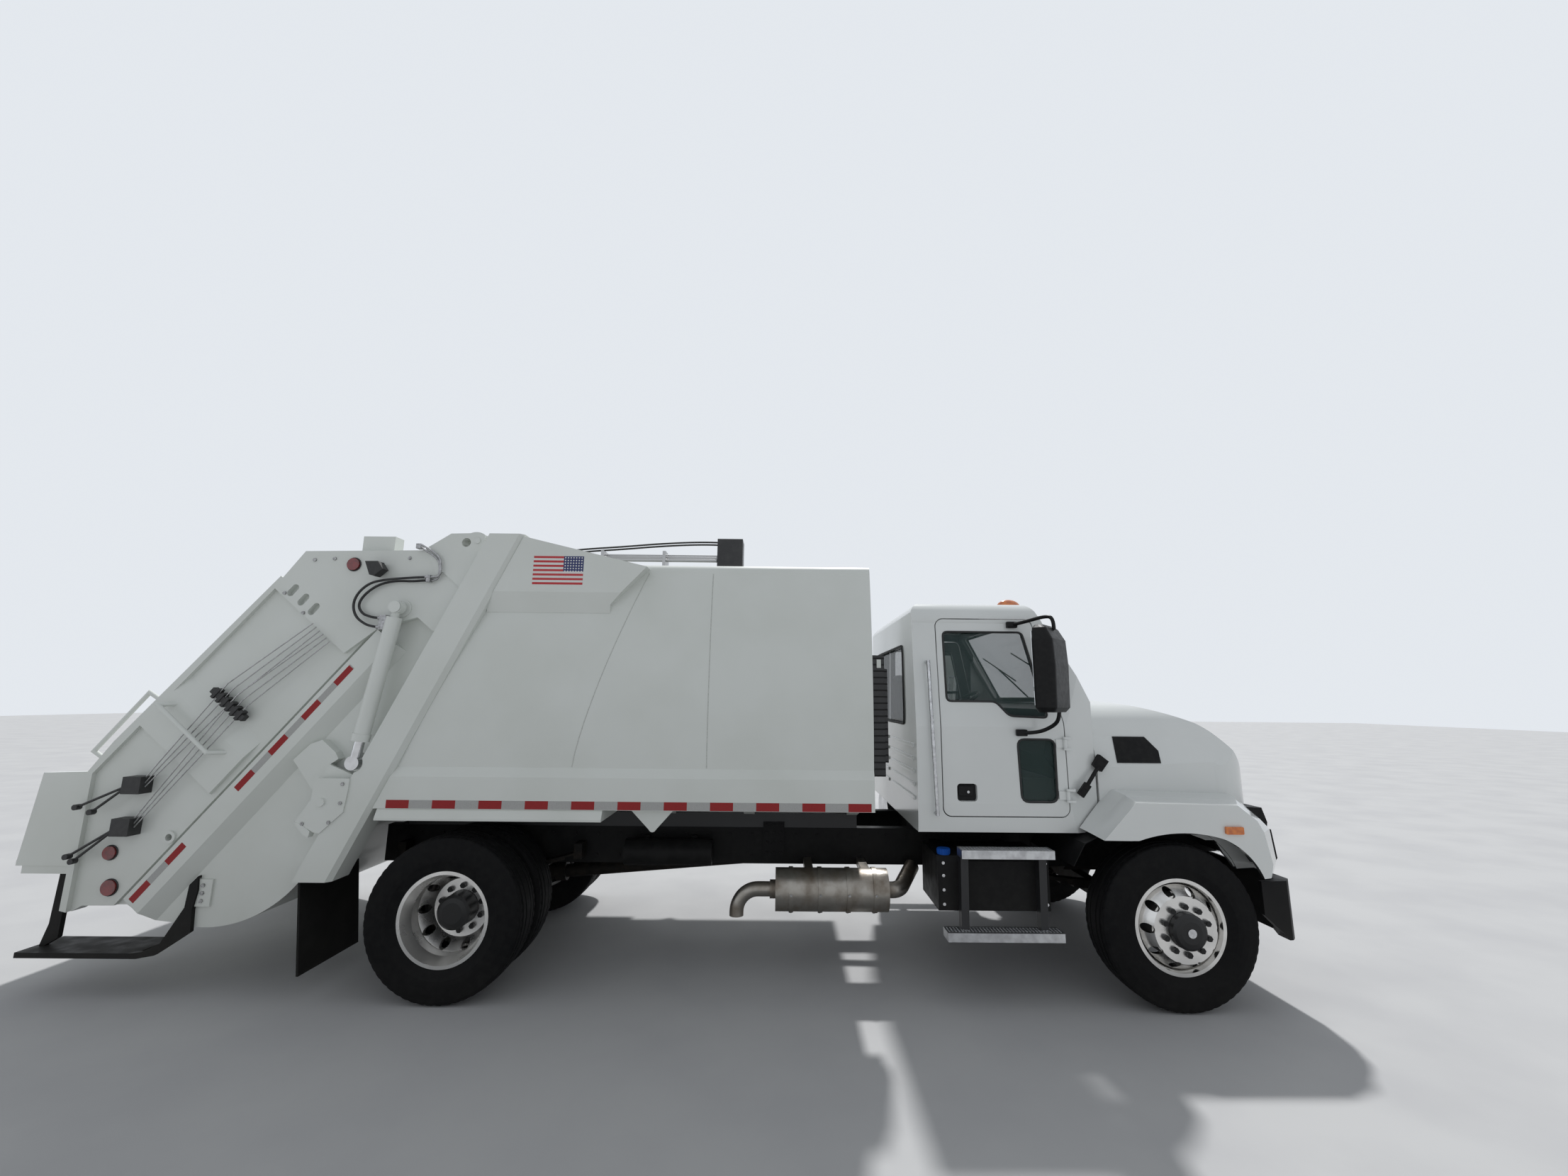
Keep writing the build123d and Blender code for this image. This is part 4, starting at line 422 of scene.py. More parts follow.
SEAM_HEIGHTS = range(1475, 2821, 96)
straight = [(1677, body_side(z) - 1.5, z) for z in SEAM_HEIGHTS]
curved = [(775 + 444 * ((z - 1475) / 1345) ** 1.25, body_side(z) - 1.5, z) for z in SEAM_HEIGHTS]
tubes("body_weld_seams", both_sides(straight) + both_sides(curved), 4, seam_paint, "chassis")

# Retro-reflective tape: red and white blocks of prismatic film stuck along the body's bottom
# rail in one length, and along the slanted beam of the tailgate in two.
def tape_film(name, direction, shift, pitch):
    """Film in red and white blocks along a direction, with its fine prism lines; the white blocks hold painted shade.
    """
    film = new_finish(name, {"Roughness": 0.32, "Coat Weight": 0.2, "Specular IOR Level": 0.25})
    nodes, links = film.node_tree.nodes, film.node_tree.links
    along = nodes.new("ShaderNodeVectorMath")
    along.operation = "DOT_PRODUCT"
    along.inputs[1].default_value = direction
    links.new(nodes.new("ShaderNodeTexCoord").outputs["Object"], along.inputs[0])
    turns = ask(film, "DIVIDE", ask(film, "ADD", along.outputs["Value"], shift), pitch)
    red = ask(film, "LESS_THAN", ask(film, "FRACT", turns), 0.5)
    prisms = texture(film, "Voronoi", Scale=260).outputs["Distance"]
    # The white blocks' two greys are darker than the film itself: painted shade over the white.
    tones = [blend(film, prisms, light, dark) for light, dark in (
        ((0.46, 0.46, 0.445), (0.36, 0.36, 0.35)), ((0.36, 0.009, 0.011), (0.24, 0.006, 0.008)))]
    links.new(blend(film, red, *tones), shader_of(film).inputs["Base Color"])
    return film


RAIL_FACE, FILM_FACE = 1218.5, 1219.8   # the bottom rail's outer face, and that of what is stuck on it
rail_film = tape_film("rail_tape_film", (1, 0, 0), shift=4.4875, pitch=0.305)
blocks("rail_tape", both_sides([(-422, RAIL_FACE, 1206), (2781, FILM_FACE, 1259)]), rail_film, "chassis",
       0)
TRACK = math.radians(51)   # slope of the beam and of the packer's tracks
TROUGH = (-1572, 1121)     # middle of the hopper's curved floor


def on_track(along, off):
    """Point in X and Z along the slanted beam and off it, towards the rear."""
    return (TROUGH[0] + along * math.cos(TRACK) - off * math.sin(TRACK),
            TROUGH[1] + along * math.sin(TRACK) + off * math.cos(TRACK))


beam_film = tape_film("beam_tape_film", (math.cos(TRACK), 0, math.sin(TRACK)), shift=9.725, pitch=0.3)
strips = [[on_track(a, o) for a, o in ((low, 4), (high, 4), (high, 46), (low, 46))]
          for low, high in ((-678, -227), (223, 1280))]
prism("beam_tape", [(strip, s * 1174.6, s * 1175.8) for strip in strips for s in (-1, 1)], beam_film, "tailgate",
      0)

# Flag decal: printed vinyl on the raised rear end of the body, thirteen stripes with a blue
# field of small white dots in the corner towards the cab.
FLAG_X, FLAG_Z, STRIPES = (422, 774), (2712, 2915), 13
INK_RED, INK_WHITE, INK_BLUE = (0.5, 0.03, 0.035), (0.72, 0.72, 0.7), (0.015, 0.025, 0.12)
flag = new_finish("flag_vinyl", {"Roughness": 0.35})
fx, _, fz = place_of(flag)
flag_long, flag_tall = (FLAG_X[1] - FLAG_X[0]) / 1000, (FLAG_Z[1] - FLAG_Z[0]) / 1000
row = ask(flag, "FLOOR", ask(flag, "MULTIPLY", ask(flag, "SUBTRACT", fz, FLAG_Z[0] / 1000), STRIPES / flag_tall))
field = all_of(flag, ask(flag, "GREATER_THAN", fx, frame_x(FLAG_X[0]) + flag_long * 0.6),
               ask(flag, "GREATER_THAN", fz, FLAG_Z[0] / 1000 + flag_tall * 6 / STRIPES))
dots = texture(flag, "Voronoi", Scale=52, Randomness=0.0)
flat_map = flag.node_tree.nodes.new("ShaderNodeMapping")
flat_map.inputs["Scale"].default_value = (1, 0, 1)
flag.node_tree.links.new(dots.inputs["Vector"].links[0].from_socket, flat_map.inputs["Vector"])
flag.node_tree.links.new(flat_map.outputs["Vector"], dots.inputs["Vector"])
star = ask(flag, "LESS_THAN", dots.outputs["Distance"], 0.26)
ink = blend(flag, ask(flag, "GREATER_THAN", ask(flag, "MODULO", row, 2.0), 0.5), INK_RED, INK_WHITE)
ink = blend(flag, all_of(flag, star, field), blend(flag, field, ink, INK_BLUE), INK_WHITE)
flag.node_tree.links.new(ink, shader_of(flag).inputs["Base Color"])
blocks("flag_decals", both_sides([(FLAG_X[0], RAIL_FACE + 0.1, FLAG_Z[0]), (FLAG_X[1], FILM_FACE, FLAG_Z[1])]), flag,
       "chassis", 0)

# Bolts of the body and the tailgate: hex heads on the flanges, the bolt plates and the hinges.
# One small shape is repeated on listed spots, turned to face outwards.
bolt_tree = bpy.data.node_groups.new("hex heads on spots", "GeometryNodeTree")
plug = bolt_tree.interface
for label, kind in (("Spots", "Geometry"), ("Radius", "Float"), ("Height", "Float"), ("Sides", "Int"),
                    ("Finish", "Material")):
    plug.new_socket(label, in_out="INPUT", socket_type=f"NodeSocket{kind}")
plug.new_socket("Heads", in_out="OUTPUT", socket_type="NodeSocketGeometry")
bolt_in, bolt_out = bolt_tree.nodes.new("NodeGroupInput"), bolt_tree.nodes.new("NodeGroupOutput")
head = bolt_tree.nodes.new("GeometryNodeMeshCylinder")
facing = bolt_tree.nodes.new("GeometryNodeInputNamedAttribute")
facing.data_type = "FLOAT_VECTOR"
facing.inputs["Name"].default_value = "facing"
aim = bolt_tree.nodes.new("FunctionNodeAlignRotationToVector")
aim.axis = "Z"
copies = bolt_tree.nodes.new("GeometryNodeInstanceOnPoints")
real = bolt_tree.nodes.new("GeometryNodeRealizeInstances")
coat = bolt_tree.nodes.new("GeometryNodeSetMaterial")
for source, out, target, into in (
        (bolt_in, "Spots", copies, "Points"), (bolt_in, "Radius", head, "Radius"), (bolt_in, "Height", head, "Depth"),
        (bolt_in, "Sides", head, "Vertices"), (facing, "Attribute", aim, "Vector"),
        (aim, "Rotation", copies, "Rotation"), (head, "Mesh", copies, "Instance"),
        (copies, "Instances", real, "Geometry"), (real, "Geometry", coat, "Geometry"),
        (bolt_in, "Finish", coat, "Material"), (coat, "Geometry", bolt_out, "Heads")):
    bolt_tree.links.new(source.outputs[out], target.inputs[into])


def heads(name, spots, radius, height, material, body, sides=6):
    """Hex heads standing on (x, y, z, facing) spots, sizes in millimetres."""
    base = bpy.data.meshes.new(name + "_spots")
    base.from_pydata([at(*spot[:3]) for spot in spots], [], [])
    ways = base.attributes.new("facing", "FLOAT_VECTOR", "POINT")
    for value, spot in zip(ways.data, spots):
        value.vector = spot[3]
    maker = placed(name + "_spots", base)
    nodes = maker.modifiers.new("heads", "NODES")
    nodes.node_group = bolt_tree
    sizes = {"Radius": radius / 1000, "Height": height / 1000, "Sides": sides, "Finish": material}
    for item in bolt_tree.interface.items_tree:
        if item.in_out == "INPUT" and item.name in sizes:
            nodes[item.identifier] = sizes[item.name]
    return made(name, plain_mesh(maker, name), material, body)


zinc = surface("zinc_plated_steel", (0.4, 0.4, 0.4), (0.24, 0.24, 0.24), 1.0, (0.3, 0.5), 80, 0.05, 400)
LEFT, RIGHT = (0, 1, 0), (0, -1, 0)
gate_spots, frame_spots = [], []
for sign, way in ((1, LEFT), (-1, RIGHT)):
    gate_spots += [(x, sign * 1127, z, way) for x, z in ((-1610, 600), (-1610, 648), (-1610, 696))]
    gate_spots += [(x, sign * 1168, z, way) for x, z in ((-1150, 2880), (-1010, 2890), (-480, 2900), (-1330, 2640),
                                                         (-1180, 2500), (-560, 2520))]
    frame_spots += [(x, sign * 1253, z, way) for x, z in ((-930, 1110), (-700, 1240), (-760, 1120), (-700, 1360))]
heads("tailgate_bolts", gate_spots, 13, 9, zinc, "tailgate")
heads("latch_bolts", frame_spots, 12, 8, zinc, "chassis")

# Control rods: six thin steel rods run up the right wall from the levers' valve blocks to the
# packer's linkage, through a black nylon guide.
rod_steel = surface("control_rod_steel", (0.5, 0.5, 0.5), (0.35, 0.35, 0.35), 1.0, (0.2, 0.4), 50, 0.02, 200)
black_nylon = surface("black_nylon", (0.018, 0.018, 0.018), (0.035, 0.035, 0.035), 0.0, (0.45, 0.6), 30, 0.1, 300)
ROD_ROUTES = (   # X and its step from rod to rod, Y, Z and its step
    ((-2071, 14, -1190, 1352, -14), (-1600, 40, -1196, 2006, -38), (-1080, 26, -1196, 2424, -26)),
    ((-2096, 14, -1190, 1092, -12), (-1520, 40, -1196, 1934, -36), (-1000, 24, -1196, 2350, -26)))
rods = [[(x + i * dx, y, z + i * dz) for x, dx, y, z, dz in route] for i in range(3) for route in ROD_ROUTES]
tubes("control_rods", rods, 4, rod_steel, "tailgate")
guide = [on_track(a, o) for a, o in ((556, 630), (596, 630), (596, 318), (556, 318))]
teeth = [[on_track(a, o - 46 * i) for a, o in ((540, 600), (612, 600), (612, 576), (540, 576))] for i in range(6)]
prism("rod_guide", [(guide, -GATE_WALL, -1204)] + [(tooth, -GATE_WALL, -1210) for tooth in teeth], black_nylon,
      "tailgate", 0.002)
paint(black_nylon, "control_levers")

# Lamps: moulded lenses, red ones in the tailgate, clear ones in the hood's front and amber ones
# on the fenders and the cab's roof. Black-housed work lamps hang under the tailgate's top edge.
def lens(name, tone, deep):
    """Coloured lens with fine optics moulded into it."""
    material = surface(name, tone, deep, 0.0, (0.12, 0.2), 30, 0.0, 80, 1.0)
    raised(material, texture(material, "Voronoi", Scale=130, Randomness=0.15).outputs["Distance"], 0.35, 0.003)
    return material


paint(lens("red_lens", (0.22, 0.006, 0.007), (0.12, 0.003, 0.004)), "gate_lamps")
paint(lens("headlamp_lens", (0.5, 0.52, 0.53), (0.47, 0.49, 0.5)), "headlamps")
amber = lens("amber_lens", (0.75, 0.2, 0.015), (0.5, 0.1, 0.008))
paint(amber, "side_markers")
domes = bmesh.new()
for y in (640, 320, 0, -320, -640):
    shape = Matrix.Translation(at(FRONT - 800, y, 2668)) @ Matrix.Diagonal((0.095, 0.045, 0.062, 1))
    bmesh.ops.create_uvsphere(domes, u_segments=32, v_segments=20, radius=1, matrix=shape)
dome_mesh = closed_mesh("roof_lamp_lenses", domes)
dome_mesh.shade_smooth()
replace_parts(made("roof_lamp_lenses", dome_mesh, amber, "chassis"), "roof_lamps")
paint(black_nylon, "work_lamps")


def circle(count, radius, start=0.0):
    """Points evenly round a circle, each as two offsets from its middle."""
    angles = [start + 2 * math.pi * i / count for i in range(count)]
    return [(radius * math.cos(angle), radius * math.sin(angle)) for angle in angles]


rims = []
for x, z, radius, face in ((-2241, 897, 45, 1138), (-2205, 682, 51, 1138), (-868, 2850, 46, 1168)):
    rims += both_sides([(x + dx, face, z + dz) for dx, dz in circle(24, radius)])
tubes("lamp_grommets", rims, 4.5, black_nylon, "tailgate", closed=True)

# Roof box: black steel housing on the body's roof, with steel tubes and two cables that run
# back from it to the tailgate's hinge.
box_black = surface("box_black_paint", (0.018, 0.018, 0.019), (0.04, 0.04, 0.04), 0.0, (0.35, 0.55), 12, 0.08, 90)
steel_rear = ask(box_black, "LESS_THAN", place_of(box_black)[0], frame_x(1660))
masked(box_black, steel_rear, (0.45, 0.45, 0.45), 0.9, 0.35)
paint(box_black, "roof_box")
cables = [[(1680, y, z), (1560, y, z + 4), (1250, y - 4, z - 12), (900, y, z - 44), (640, y, z - 62), (470, y, z - 84)]
          for y, z in ((-760, 3140), (-735, 3126))]
tubes("roof_cables", cables, 7, black_nylon, "chassis", soft=True)

# Stack panel: black louvred guard that stands between the body and the cab, with a pale slot
# near its top.
LOUVRES = 22.0   # louvres in a metre of height
panel_black = surface("guard_black", (0.015, 0.015, 0.016), (0.035, 0.035, 0.035), 0.0, (0.3, 0.5), 9, 0.05, 80)
# Painted shade: a darker band in every louvre's pitch stands for the shade in the gap between louvres.
turns = ask(panel_black, "MULTIPLY", place_of(panel_black)[2], LOUVRES)
masked(panel_black, ask(panel_black, "LESS_THAN", ask(panel_black, "FRACT", turns), 0.25), (0.004, 0.004, 0.004),
       0.0, 0.8)
paint(panel_black, "stack_panel")
blocks("stack_slot", [((2860, -1011.5, 2165), (2890, -1009.6, 2225))], body_paint, "chassis", 0)

# Cab glass: green-tinted safety glass in black rubber gaskets. The gaskets follow the edge of
# each pane on the cab's skin.
window_glass = surface("tinted_glass", (0.05, 0.09, 0.085), (0.045, 0.081, 0.0765), 0.0, (0.02, 0.05), 3, 0.0, 20,
                       spec=0.35)
window_glass.surface_render_method = "BLENDED"
for socket, value in (("Alpha", 0.3), ("IOR", 1.5)):
    shader_of(window_glass).inputs[socket].default_value = value
paint(window_glass, "cab_glass", "door_glass_left", "door_glass_right")


def cab_side(z):
    """Half width of the cab's side at a height."""
    return 1045 - CAB_LEAN * max(z - CAB_BEND, 0)


def screen_x(z, lift=0):
    """X on the leaning windscreen at a height, or lifted off it."""
    return FRONT - 368 - (z - SCREEN_FOOT) * SCREEN_LEAN + lift


def rounded(points, radius):
    """Outline with each corner turned into a short run of points."""
    out = []
    for i, corner in enumerate(points):
        a, b = Vector(points[i - 1]), Vector(points[(i + 1) % len(points)])
        c = Vector(corner)
        start, end = c + (a - c).normalized() * radius, c + (b - c).normalized() * radius
        for step in range(5):
            t = step / 4
            out.append(tuple(start * (1 - t) ** 2 + c * 2 * t * (1 - t) + end * t ** 2))
    return out


gasket = surface("gasket_rubber", (0.012, 0.012, 0.012), (0.025, 0.025, 0.025), 0.0, (0.5, 0.7), 40, 0.05, 200)
WINDOW = [(-1416, 1935), (-1068, 1935), (-978, 1835), (-706, 1825), (-836, 2435), (-1416, 2435)]
LOW_WINDOW = [(-922, 1254), (-675, 1254), (-673, 1675), (-934, 1675)]
for side, sign in (("left", 1), ("right", -1)):
    rims = [[(FRONT + x, sign * (cab_side(z) - 1), z) for x, z in rounded(pane, radius)]
            for pane, radius in ((WINDOW, 34), (LOW_WINDOW, 50))]
    tubes(f"door_gaskets_{side}", rims, 8, gasket, f"door_{side}_body", closed=True)
screen = [(screen_x(z), y, z) for y, z in rounded([(-872, 1963), (872, 1963), (832, 2548), (-832, 2548)], 40)]
back = [(FRONT - 1643, y, z) for y, z in rounded([(-640, 1760), (640, 1760), (620, 2360), (-620, 2360)], 60)]
tubes("cab_gaskets", [screen, back], 10, gasket, "chassis", closed=True)

# Wipers: two arms of black steel pivot below the windscreen, each with a long rubber blade that
# is pressed flat against the glass.
arms, blades = [], []
for y in (-640, 120):
    arms.append([(screen_x(z, lift), y + across, z)
                 for z, lift, across in ((1945, 16, 0), (2100, 26, 210), (2230, 22, 370))])
    blades.append([(screen_x(z, 12), y + across, z) for z, across in ((2120, 90), (2350, 590))])
tubes("wiper_arms", arms, 7, black_nylon, "chassis")
tubes("wiper_blades", blades, 6, gasket, "chassis")

# Cab's rear wall: ribs are pressed into the sheet between the body and the doors, to stiffen
# it, and painted with it.
blocks("cab_rear_ribs", [((FRONT - 1652, y0, z), (FRONT - 1641, y1, z + 26)) for z in range(1250, 1700, 90)
                         for y0, y1 in ((-960, -80), (80, 960))], cab_paint, "chassis", 0.004)

# Cab handles and door furniture: bright bars beside the doors, black handle paddles over shallow
# cups, and black moulded mirrors, turned towards the driver, with a flat glass over a small one.
bright = surface("bright_bar", (0.62, 0.63, 0.64), (0.45, 0.45, 0.46), 1.0, (0.15, 0.3), 40, 0.02, 200)
paint(bright, "cab_handles")
mirror_black = surface("mirror_moulding", (0.007, 0.007, 0.0075), (0.012, 0.012, 0.012), 0.0, (0.35, 0.45), 30, 0.08,
                       500, spec=0.18)
paint(mirror_black, "dashboard", "steering_wheel")
mirror_glass = surface("mirror_glass", (0.75, 0.77, 0.78), (0.72, 0.74, 0.75), 1.0, (0.02, 0.04), 2, 0.0, 20)
MIRROR_TURN, MIRROR_DEPTH, MIRROR_TALL = math.radians(42), 1.29, 1.05
MIRROR_DRAWN, MIRROR_PLACE = (-742, 1270), (-757, 1256, 2161)   # the head's middle as drawn, and on the truck


def turned(x, y, z, sign):
    """Point of a mirror head, scaled and turned about its own middle and put in its place."""
    deep, across = (x - MIRROR_DRAWN[0]) * MIRROR_DEPTH, y - MIRROR_DRAWN[1]
    c, s = math.cos(MIRROR_TURN), math.sin(MIRROR_TURN)
    mx, my, mz = MIRROR_PLACE
    return at(FRONT + mx + deep * c - across * s, sign * (my + deep * s + across * c), mz + (z - mz) * MIRROR_TALL)


HEAD_RINGS = (   # height, then the rounded outline's back, front, inner and outer side
    (1882, -790, -706, 1142, 1398), (1912, -799, -688, 1122, 1417), (2180, -799, -683, 1120, 1418),
    (2345, -799, -690, 1122, 1417), (2420, -797, -722, 1134, 1404), (2440, -790, -742, 1156, 1380))
MIRROR_ARMS = (
    ((-906, 985, 2490), (-850, 1060, 2500), (-745, 1215, 2530), (-722, 1268, 2500), (-725, 1270, 2425)),
    ((-906, 1062, 1721), (-820, 1110, 1721), (-735, 1200, 1775), (-722, 1262, 1830), (-722, 1268, 1895)))
for side, sign in (("left", 1), ("right", -1)):
    body = f"door_{side}_body"
    housing = bmesh.new()
    lofted(housing, [[housing.verts.new(turned(x, y, z, sign))
                      for x, y in rounded([(back, inner), (front, inner), (front, outer), (back, outer)], 26)]
                     for z, back, front, inner, outer in HEAD_RINGS])
    housing_mesh = closed_mesh(f"mirror_head_{side}", housing, outwards=True)
    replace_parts(made(f"mirror_head_{side}", housing_mesh, mirror_black, body), f"mirror_{side}")
    arms = [[(FRONT + x, sign * y, z) for x, y, z in route] for route in MIRROR_ARMS]
    tubes(f"mirror_arms_{side}", arms, 13, mirror_black, body, soft=True)
    blocks(f"mirror_brackets_{side}", [((FRONT - 948, sign * 966, 2466), (FRONT - 872, sign * 1004, 2512)),
                                       ((FRONT - 945, sign * 1044, 1698), (FRONT - 870, sign * 1080, 1744))],
           mirror_black, body, 0.008)
    panes = bmesh.new()
    for low, high in ((2040, 2400), (1925, 2015)):
        outline = ((1145, low), (1395, low), (1395, high), (1145, high))
        lofted(panes, [[panes.verts.new(turned(x, y, z, sign)) for y, z in outline] for x in (-798, -801.5)])
    made(f"mirror_glasses_{side}", closed_mesh(f"mirror_glasses_{side}", panes, outwards=True), mirror_glass, body)
    cup = rounded([(-1366, 1257), (-1234, 1257), (-1234, 1370), (-1366, 1370)], 22)
    prism(f"door_cup_{side}", [([(FRONT + x, z) for x, z in cup], sign * 1019.5, sign * 1023)], mirror_black, body,
          0)
    blocks(f"door_paddle_{side}", [((FRONT - 1358, sign * 1016, 1287), (FRONT - 1259, sign * 1036, 1355))],
           mirror_black, body, 0.005)
    heads(f"door_lock_{side}", [(FRONT - 1290, sign * 1037, 1316, (0, sign, 0))], 9, 4, bright, body, 24)

# Hood trim: unpainted black moulding for the grille, the lamp surrounds, the side vents and
# the rubber hood latches.
trim_black = surface("trim_moulding", (0.007, 0.007, 0.0075), (0.014, 0.014, 0.014), 0.0, (0.4, 0.55), 25, 0.1, 400,
                     spec=0.15)
paint(trim_black, "hood_trim")

# Fender liners: black moulded arches that close the fenders' inside over the front tyres, with
# upright splash panels between the tyres and the chassis rails.
LINER_IN, LINER_OUT = 452, 1168
liner = [(-652, 868), (-566, 1012), (-430, 1078), (430, 1078), (566, 1012), (655, 868), (651, 866), (563, 1008),
         (429, 1074), (-429, 1074), (-563, 1008), (-648, 866)]
splash = [(FRONT + x, z) for x, z in [(-600, 700)] + liner[:6] + [(768, 868), (768, 812), (640, 812), (600, 700)]]
prism("fender_liners", [([(FRONT + x, z) for x, z in liner], s * LINER_IN, s * LINER_OUT) for s in (-1, 1)]
      + [(splash, s * LINER_IN, s * (LINER_IN + 4)) for s in (-1, 1)], trim_black, "hood_body", 0)

# Front bumper: pressed steel, painted black and bolted to the rails' ends. Dust lies along its
# lower edge.
bumper_black = surface("bumper_black", (0.006, 0.006, 0.0065), (0.01, 0.01, 0.01), 0.0, (0.4, 0.55), 8, 0.04, 60,
                       spec=0.12)
paint(dusty(bumper_black, 0.4, 0.8, 0.05), "front_bumper")

# Chassis: black painted steel rails with bolted crossmembers, air tanks in straps, and springs,
# axles and engine of cast iron. Grey road dust lies on what is low.
frame_black = surface("chassis_black", (0.007, 0.007, 0.0075), (0.014, 0.014, 0.014), 0.0, (0.45, 0.65), 10, 0.08, 60,
                      spec=0.12)
paint(dusty(frame_black, 0.2, 1.0, 0.06), "chassis_frame", "radiator", "riding_steps")
cast_iron = surface("cast_iron_black", (0.01, 0.0095, 0.009), (0.028, 0.023, 0.019), 0.2, (0.5, 0.75), 14, 0.25, 120,
                    spec=0.15)
paint(dusty(cast_iron, 0.1, 0.9, 0.08), "front_axle", "rear_axle", "knuckle_left", "knuckle_right", "leaf_springs",
      "engine_block", "drive_shaft")
rail_spots = []
for sign, way in ((1, LEFT), (-1, RIGHT)):
    for x in list(range(-760, 2900, 170)) + list(range(3000, 5200, 150)):
        rail_spots += [(x, sign * 436, z, way) for z in (745, 900)]
    rail_spots += [(x, sign * 450, z, way) for x in (2075, 2130, 2185) for z in (770, 845, 920, 975)]
heads("rail_bolts", rail_spots, 13, 9, frame_black, "chassis")
TANK_X, TANK_Y = 1020, 560   # rear end and middle of the two air tanks
cylinders = [[(TANK_X + along, s * TANK_Y, 800) for along in (0, 10, 640, 650)] for s in (-1, 1)]
tubes("air_tanks", cylinders, 95, frame_black, "chassis")
bands = [box for x in (TANK_X + 120, TANK_X + 480) for box in both_sides([(x, 433, 790), (x + 40, 480, 900)])]
blocks("air_tank_straps", bands, frame_black, "chassis", 0.003)

# Fuel and fluid tanks: a bright spun aluminium tank with rubber-lined straps on the left, and
# a black moulded one with a blue cap on the right.
tank_alloy = surface("tank_aluminium", (0.62, 0.63, 0.64), (0.5, 0.5, 0.51), 1.0, (0.22, 0.38), 5, 0.02, 40)
paint(dusty(tank_alloy, 0.3, 1.1, 0.25), "fuel_tank")
TANK_OUTLINE = ((478, 598), (600, 466), (960, 466), (1064, 498), (1094, 600), (1094, 880), (1064, 984), (960, 1014),
                (600, 1014), (478, 882))
straps = [[(FRONT + x, y, z) for y, z in TANK_OUTLINE] for x in (-1440, -860)]
tubes("tank_straps", straps, 9, frame_black, "chassis", closed=True)
CAP_FOOT = 0.902
moulded = surface("moulded_black_tank", (0.007, 0.007, 0.0075), (0.013, 0.013, 0.013), 0.0, (0.45, 0.6), 16, 0.1, 150,
                  spec=0.12)
dusty(moulded, 0.3, 1.0, 0.05)
masked(moulded, ask(moulded, "GREATER_THAN", place_of(moulded)[2], CAP_FOOT), (0.01, 0.09, 0.42), 0.0, 0.4)
paint(moulded, "fluid_tank")
ribs = [(FRONT - 1468 + dx, -1000 + dy, 922, (0, 0, 1)) for dx, dy in circle(16, 42)]
heads("blue_cap_ribs", ribs, 4, 30, moulded, "chassis")
panel_spots = [(FRONT + x, -1072, z, RIGHT) for x, heights in ((-1490, (600, 690, 780, 860)), (-800, (600, 860)))
               for z in heights]
heads("tank_bolts", panel_spots, 11, 6, bright, "chassis")

# Cab steps: extruded aluminium treads with a serrated grip face, on black hangers.
step_alloy = surface("tread_aluminium", (0.6, 0.61, 0.62), (0.44, 0.44, 0.45), 1.0, (0.3, 0.45), 18, 0.05, 120)
_, _, step_z = place_of(step_alloy)
on_tread = ask(step_alloy, "ADD", between(step_alloy, step_z, 0.9145, 0.97), between(step_alloy, step_z, 0.4095, 0.465))
masked(step_alloy, ask(step_alloy, "SUBTRACT", 1.0, on_tread), (0.016, 0.016, 0.017), 0.0, 0.5)
paint(step_alloy, "cab_steps")
grip = surface("grip_aluminium", (0.66, 0.67, 0.68), (0.5, 0.5, 0.51), 1.0, (0.25, 0.4), 30, 0.03, 200)
studs = []
for low, high, top, inner in ((-1397, -783, 969, 1100), (-1503, -748, 464, 1092)):
    for x in range(low + 16, high - 10, 22):
        for y in range(inner, 1176, 18):
            studs += [(FRONT + x, s * y, top - 1, (0, 0, 1)) for s in (-1, 1)]
heads("tread_teeth", studs, 6, 5, grip, "chassis")

# Exhaust: aluminised steel canister browned by heat, held by band clamps whose bolts face out
# and down.
exhaust_steel = surface("exhaust_steel", (0.33, 0.31, 0.28), (0.17, 0.14, 0.11), 1.0, (0.3, 0.55), 7, 0.06, 50)
paint(dusty(exhaust_steel, 0.3, 0.8, 0.3), "exhaust")
clamp_spots = []
for x in (-2510, -2305, -2105, -1918):
    clamp_spots += [(FRONT + x, -760 - 150, 600, RIGHT), (FRONT + x, -760, 600 - 150, (0, 0, -1))]
heads("exhaust_clamp_bolts", clamp_spots, 9, 16, zinc, "chassis")

# Cylinder rods: hard chromed steel, polished, in the tailgate's lift cylinders and in the two
# that sweep the packer's blade.
chromed = surface("chromed_rod", (0.72, 0.73, 0.74), (0.62, 0.62, 0.63), 1.0, (0.06, 0.14), 20, 0.01, 100)
paint(chromed, "lift_cylinder_rods", "sweep_cylinder_rods")

# Mud flaps: sheets of black rubber, ribbed down their face, that hang from brackets on the
# frame behind the rear wheels.
flap = surface("flap_rubber", (0.009, 0.009, 0.009), (0.016, 0.016, 0.0155), 0.0, (0.6, 0.8), 8, 0.1, 70, spec=0.1)
paint(dusty(flap, 0.1, 0.8, 0.06), "mud_flaps")

# Tyres: moulded rubber with ribbed treads, notched shoulders and rings on the side walls.
# Each is one shape turned about its axle, with the tread cut into it.
tyre_rubber = surface("tyre_rubber", (0.006, 0.006, 0.0065), (0.011, 0.011, 0.011), 0.0, (0.6, 0.75), 20, 0.12, 180,
                      spec=0.1)
dusty(tyre_rubber, 0.0, 0.35, 0.25, (0.06, 0.056, 0.05))
TYRE_R, TYRE_HALF, BEAD_R, AXLE_Z = 511.5, 139.5, 288, 512
wall_line = [(118, BEAD_R + 8), (119, 304), (127, 330), (134, 352), (135.5, 356), (136.5, 358), (TYRE_HALF, 392),
             (138, 430), (135, 450), (133, 468)]


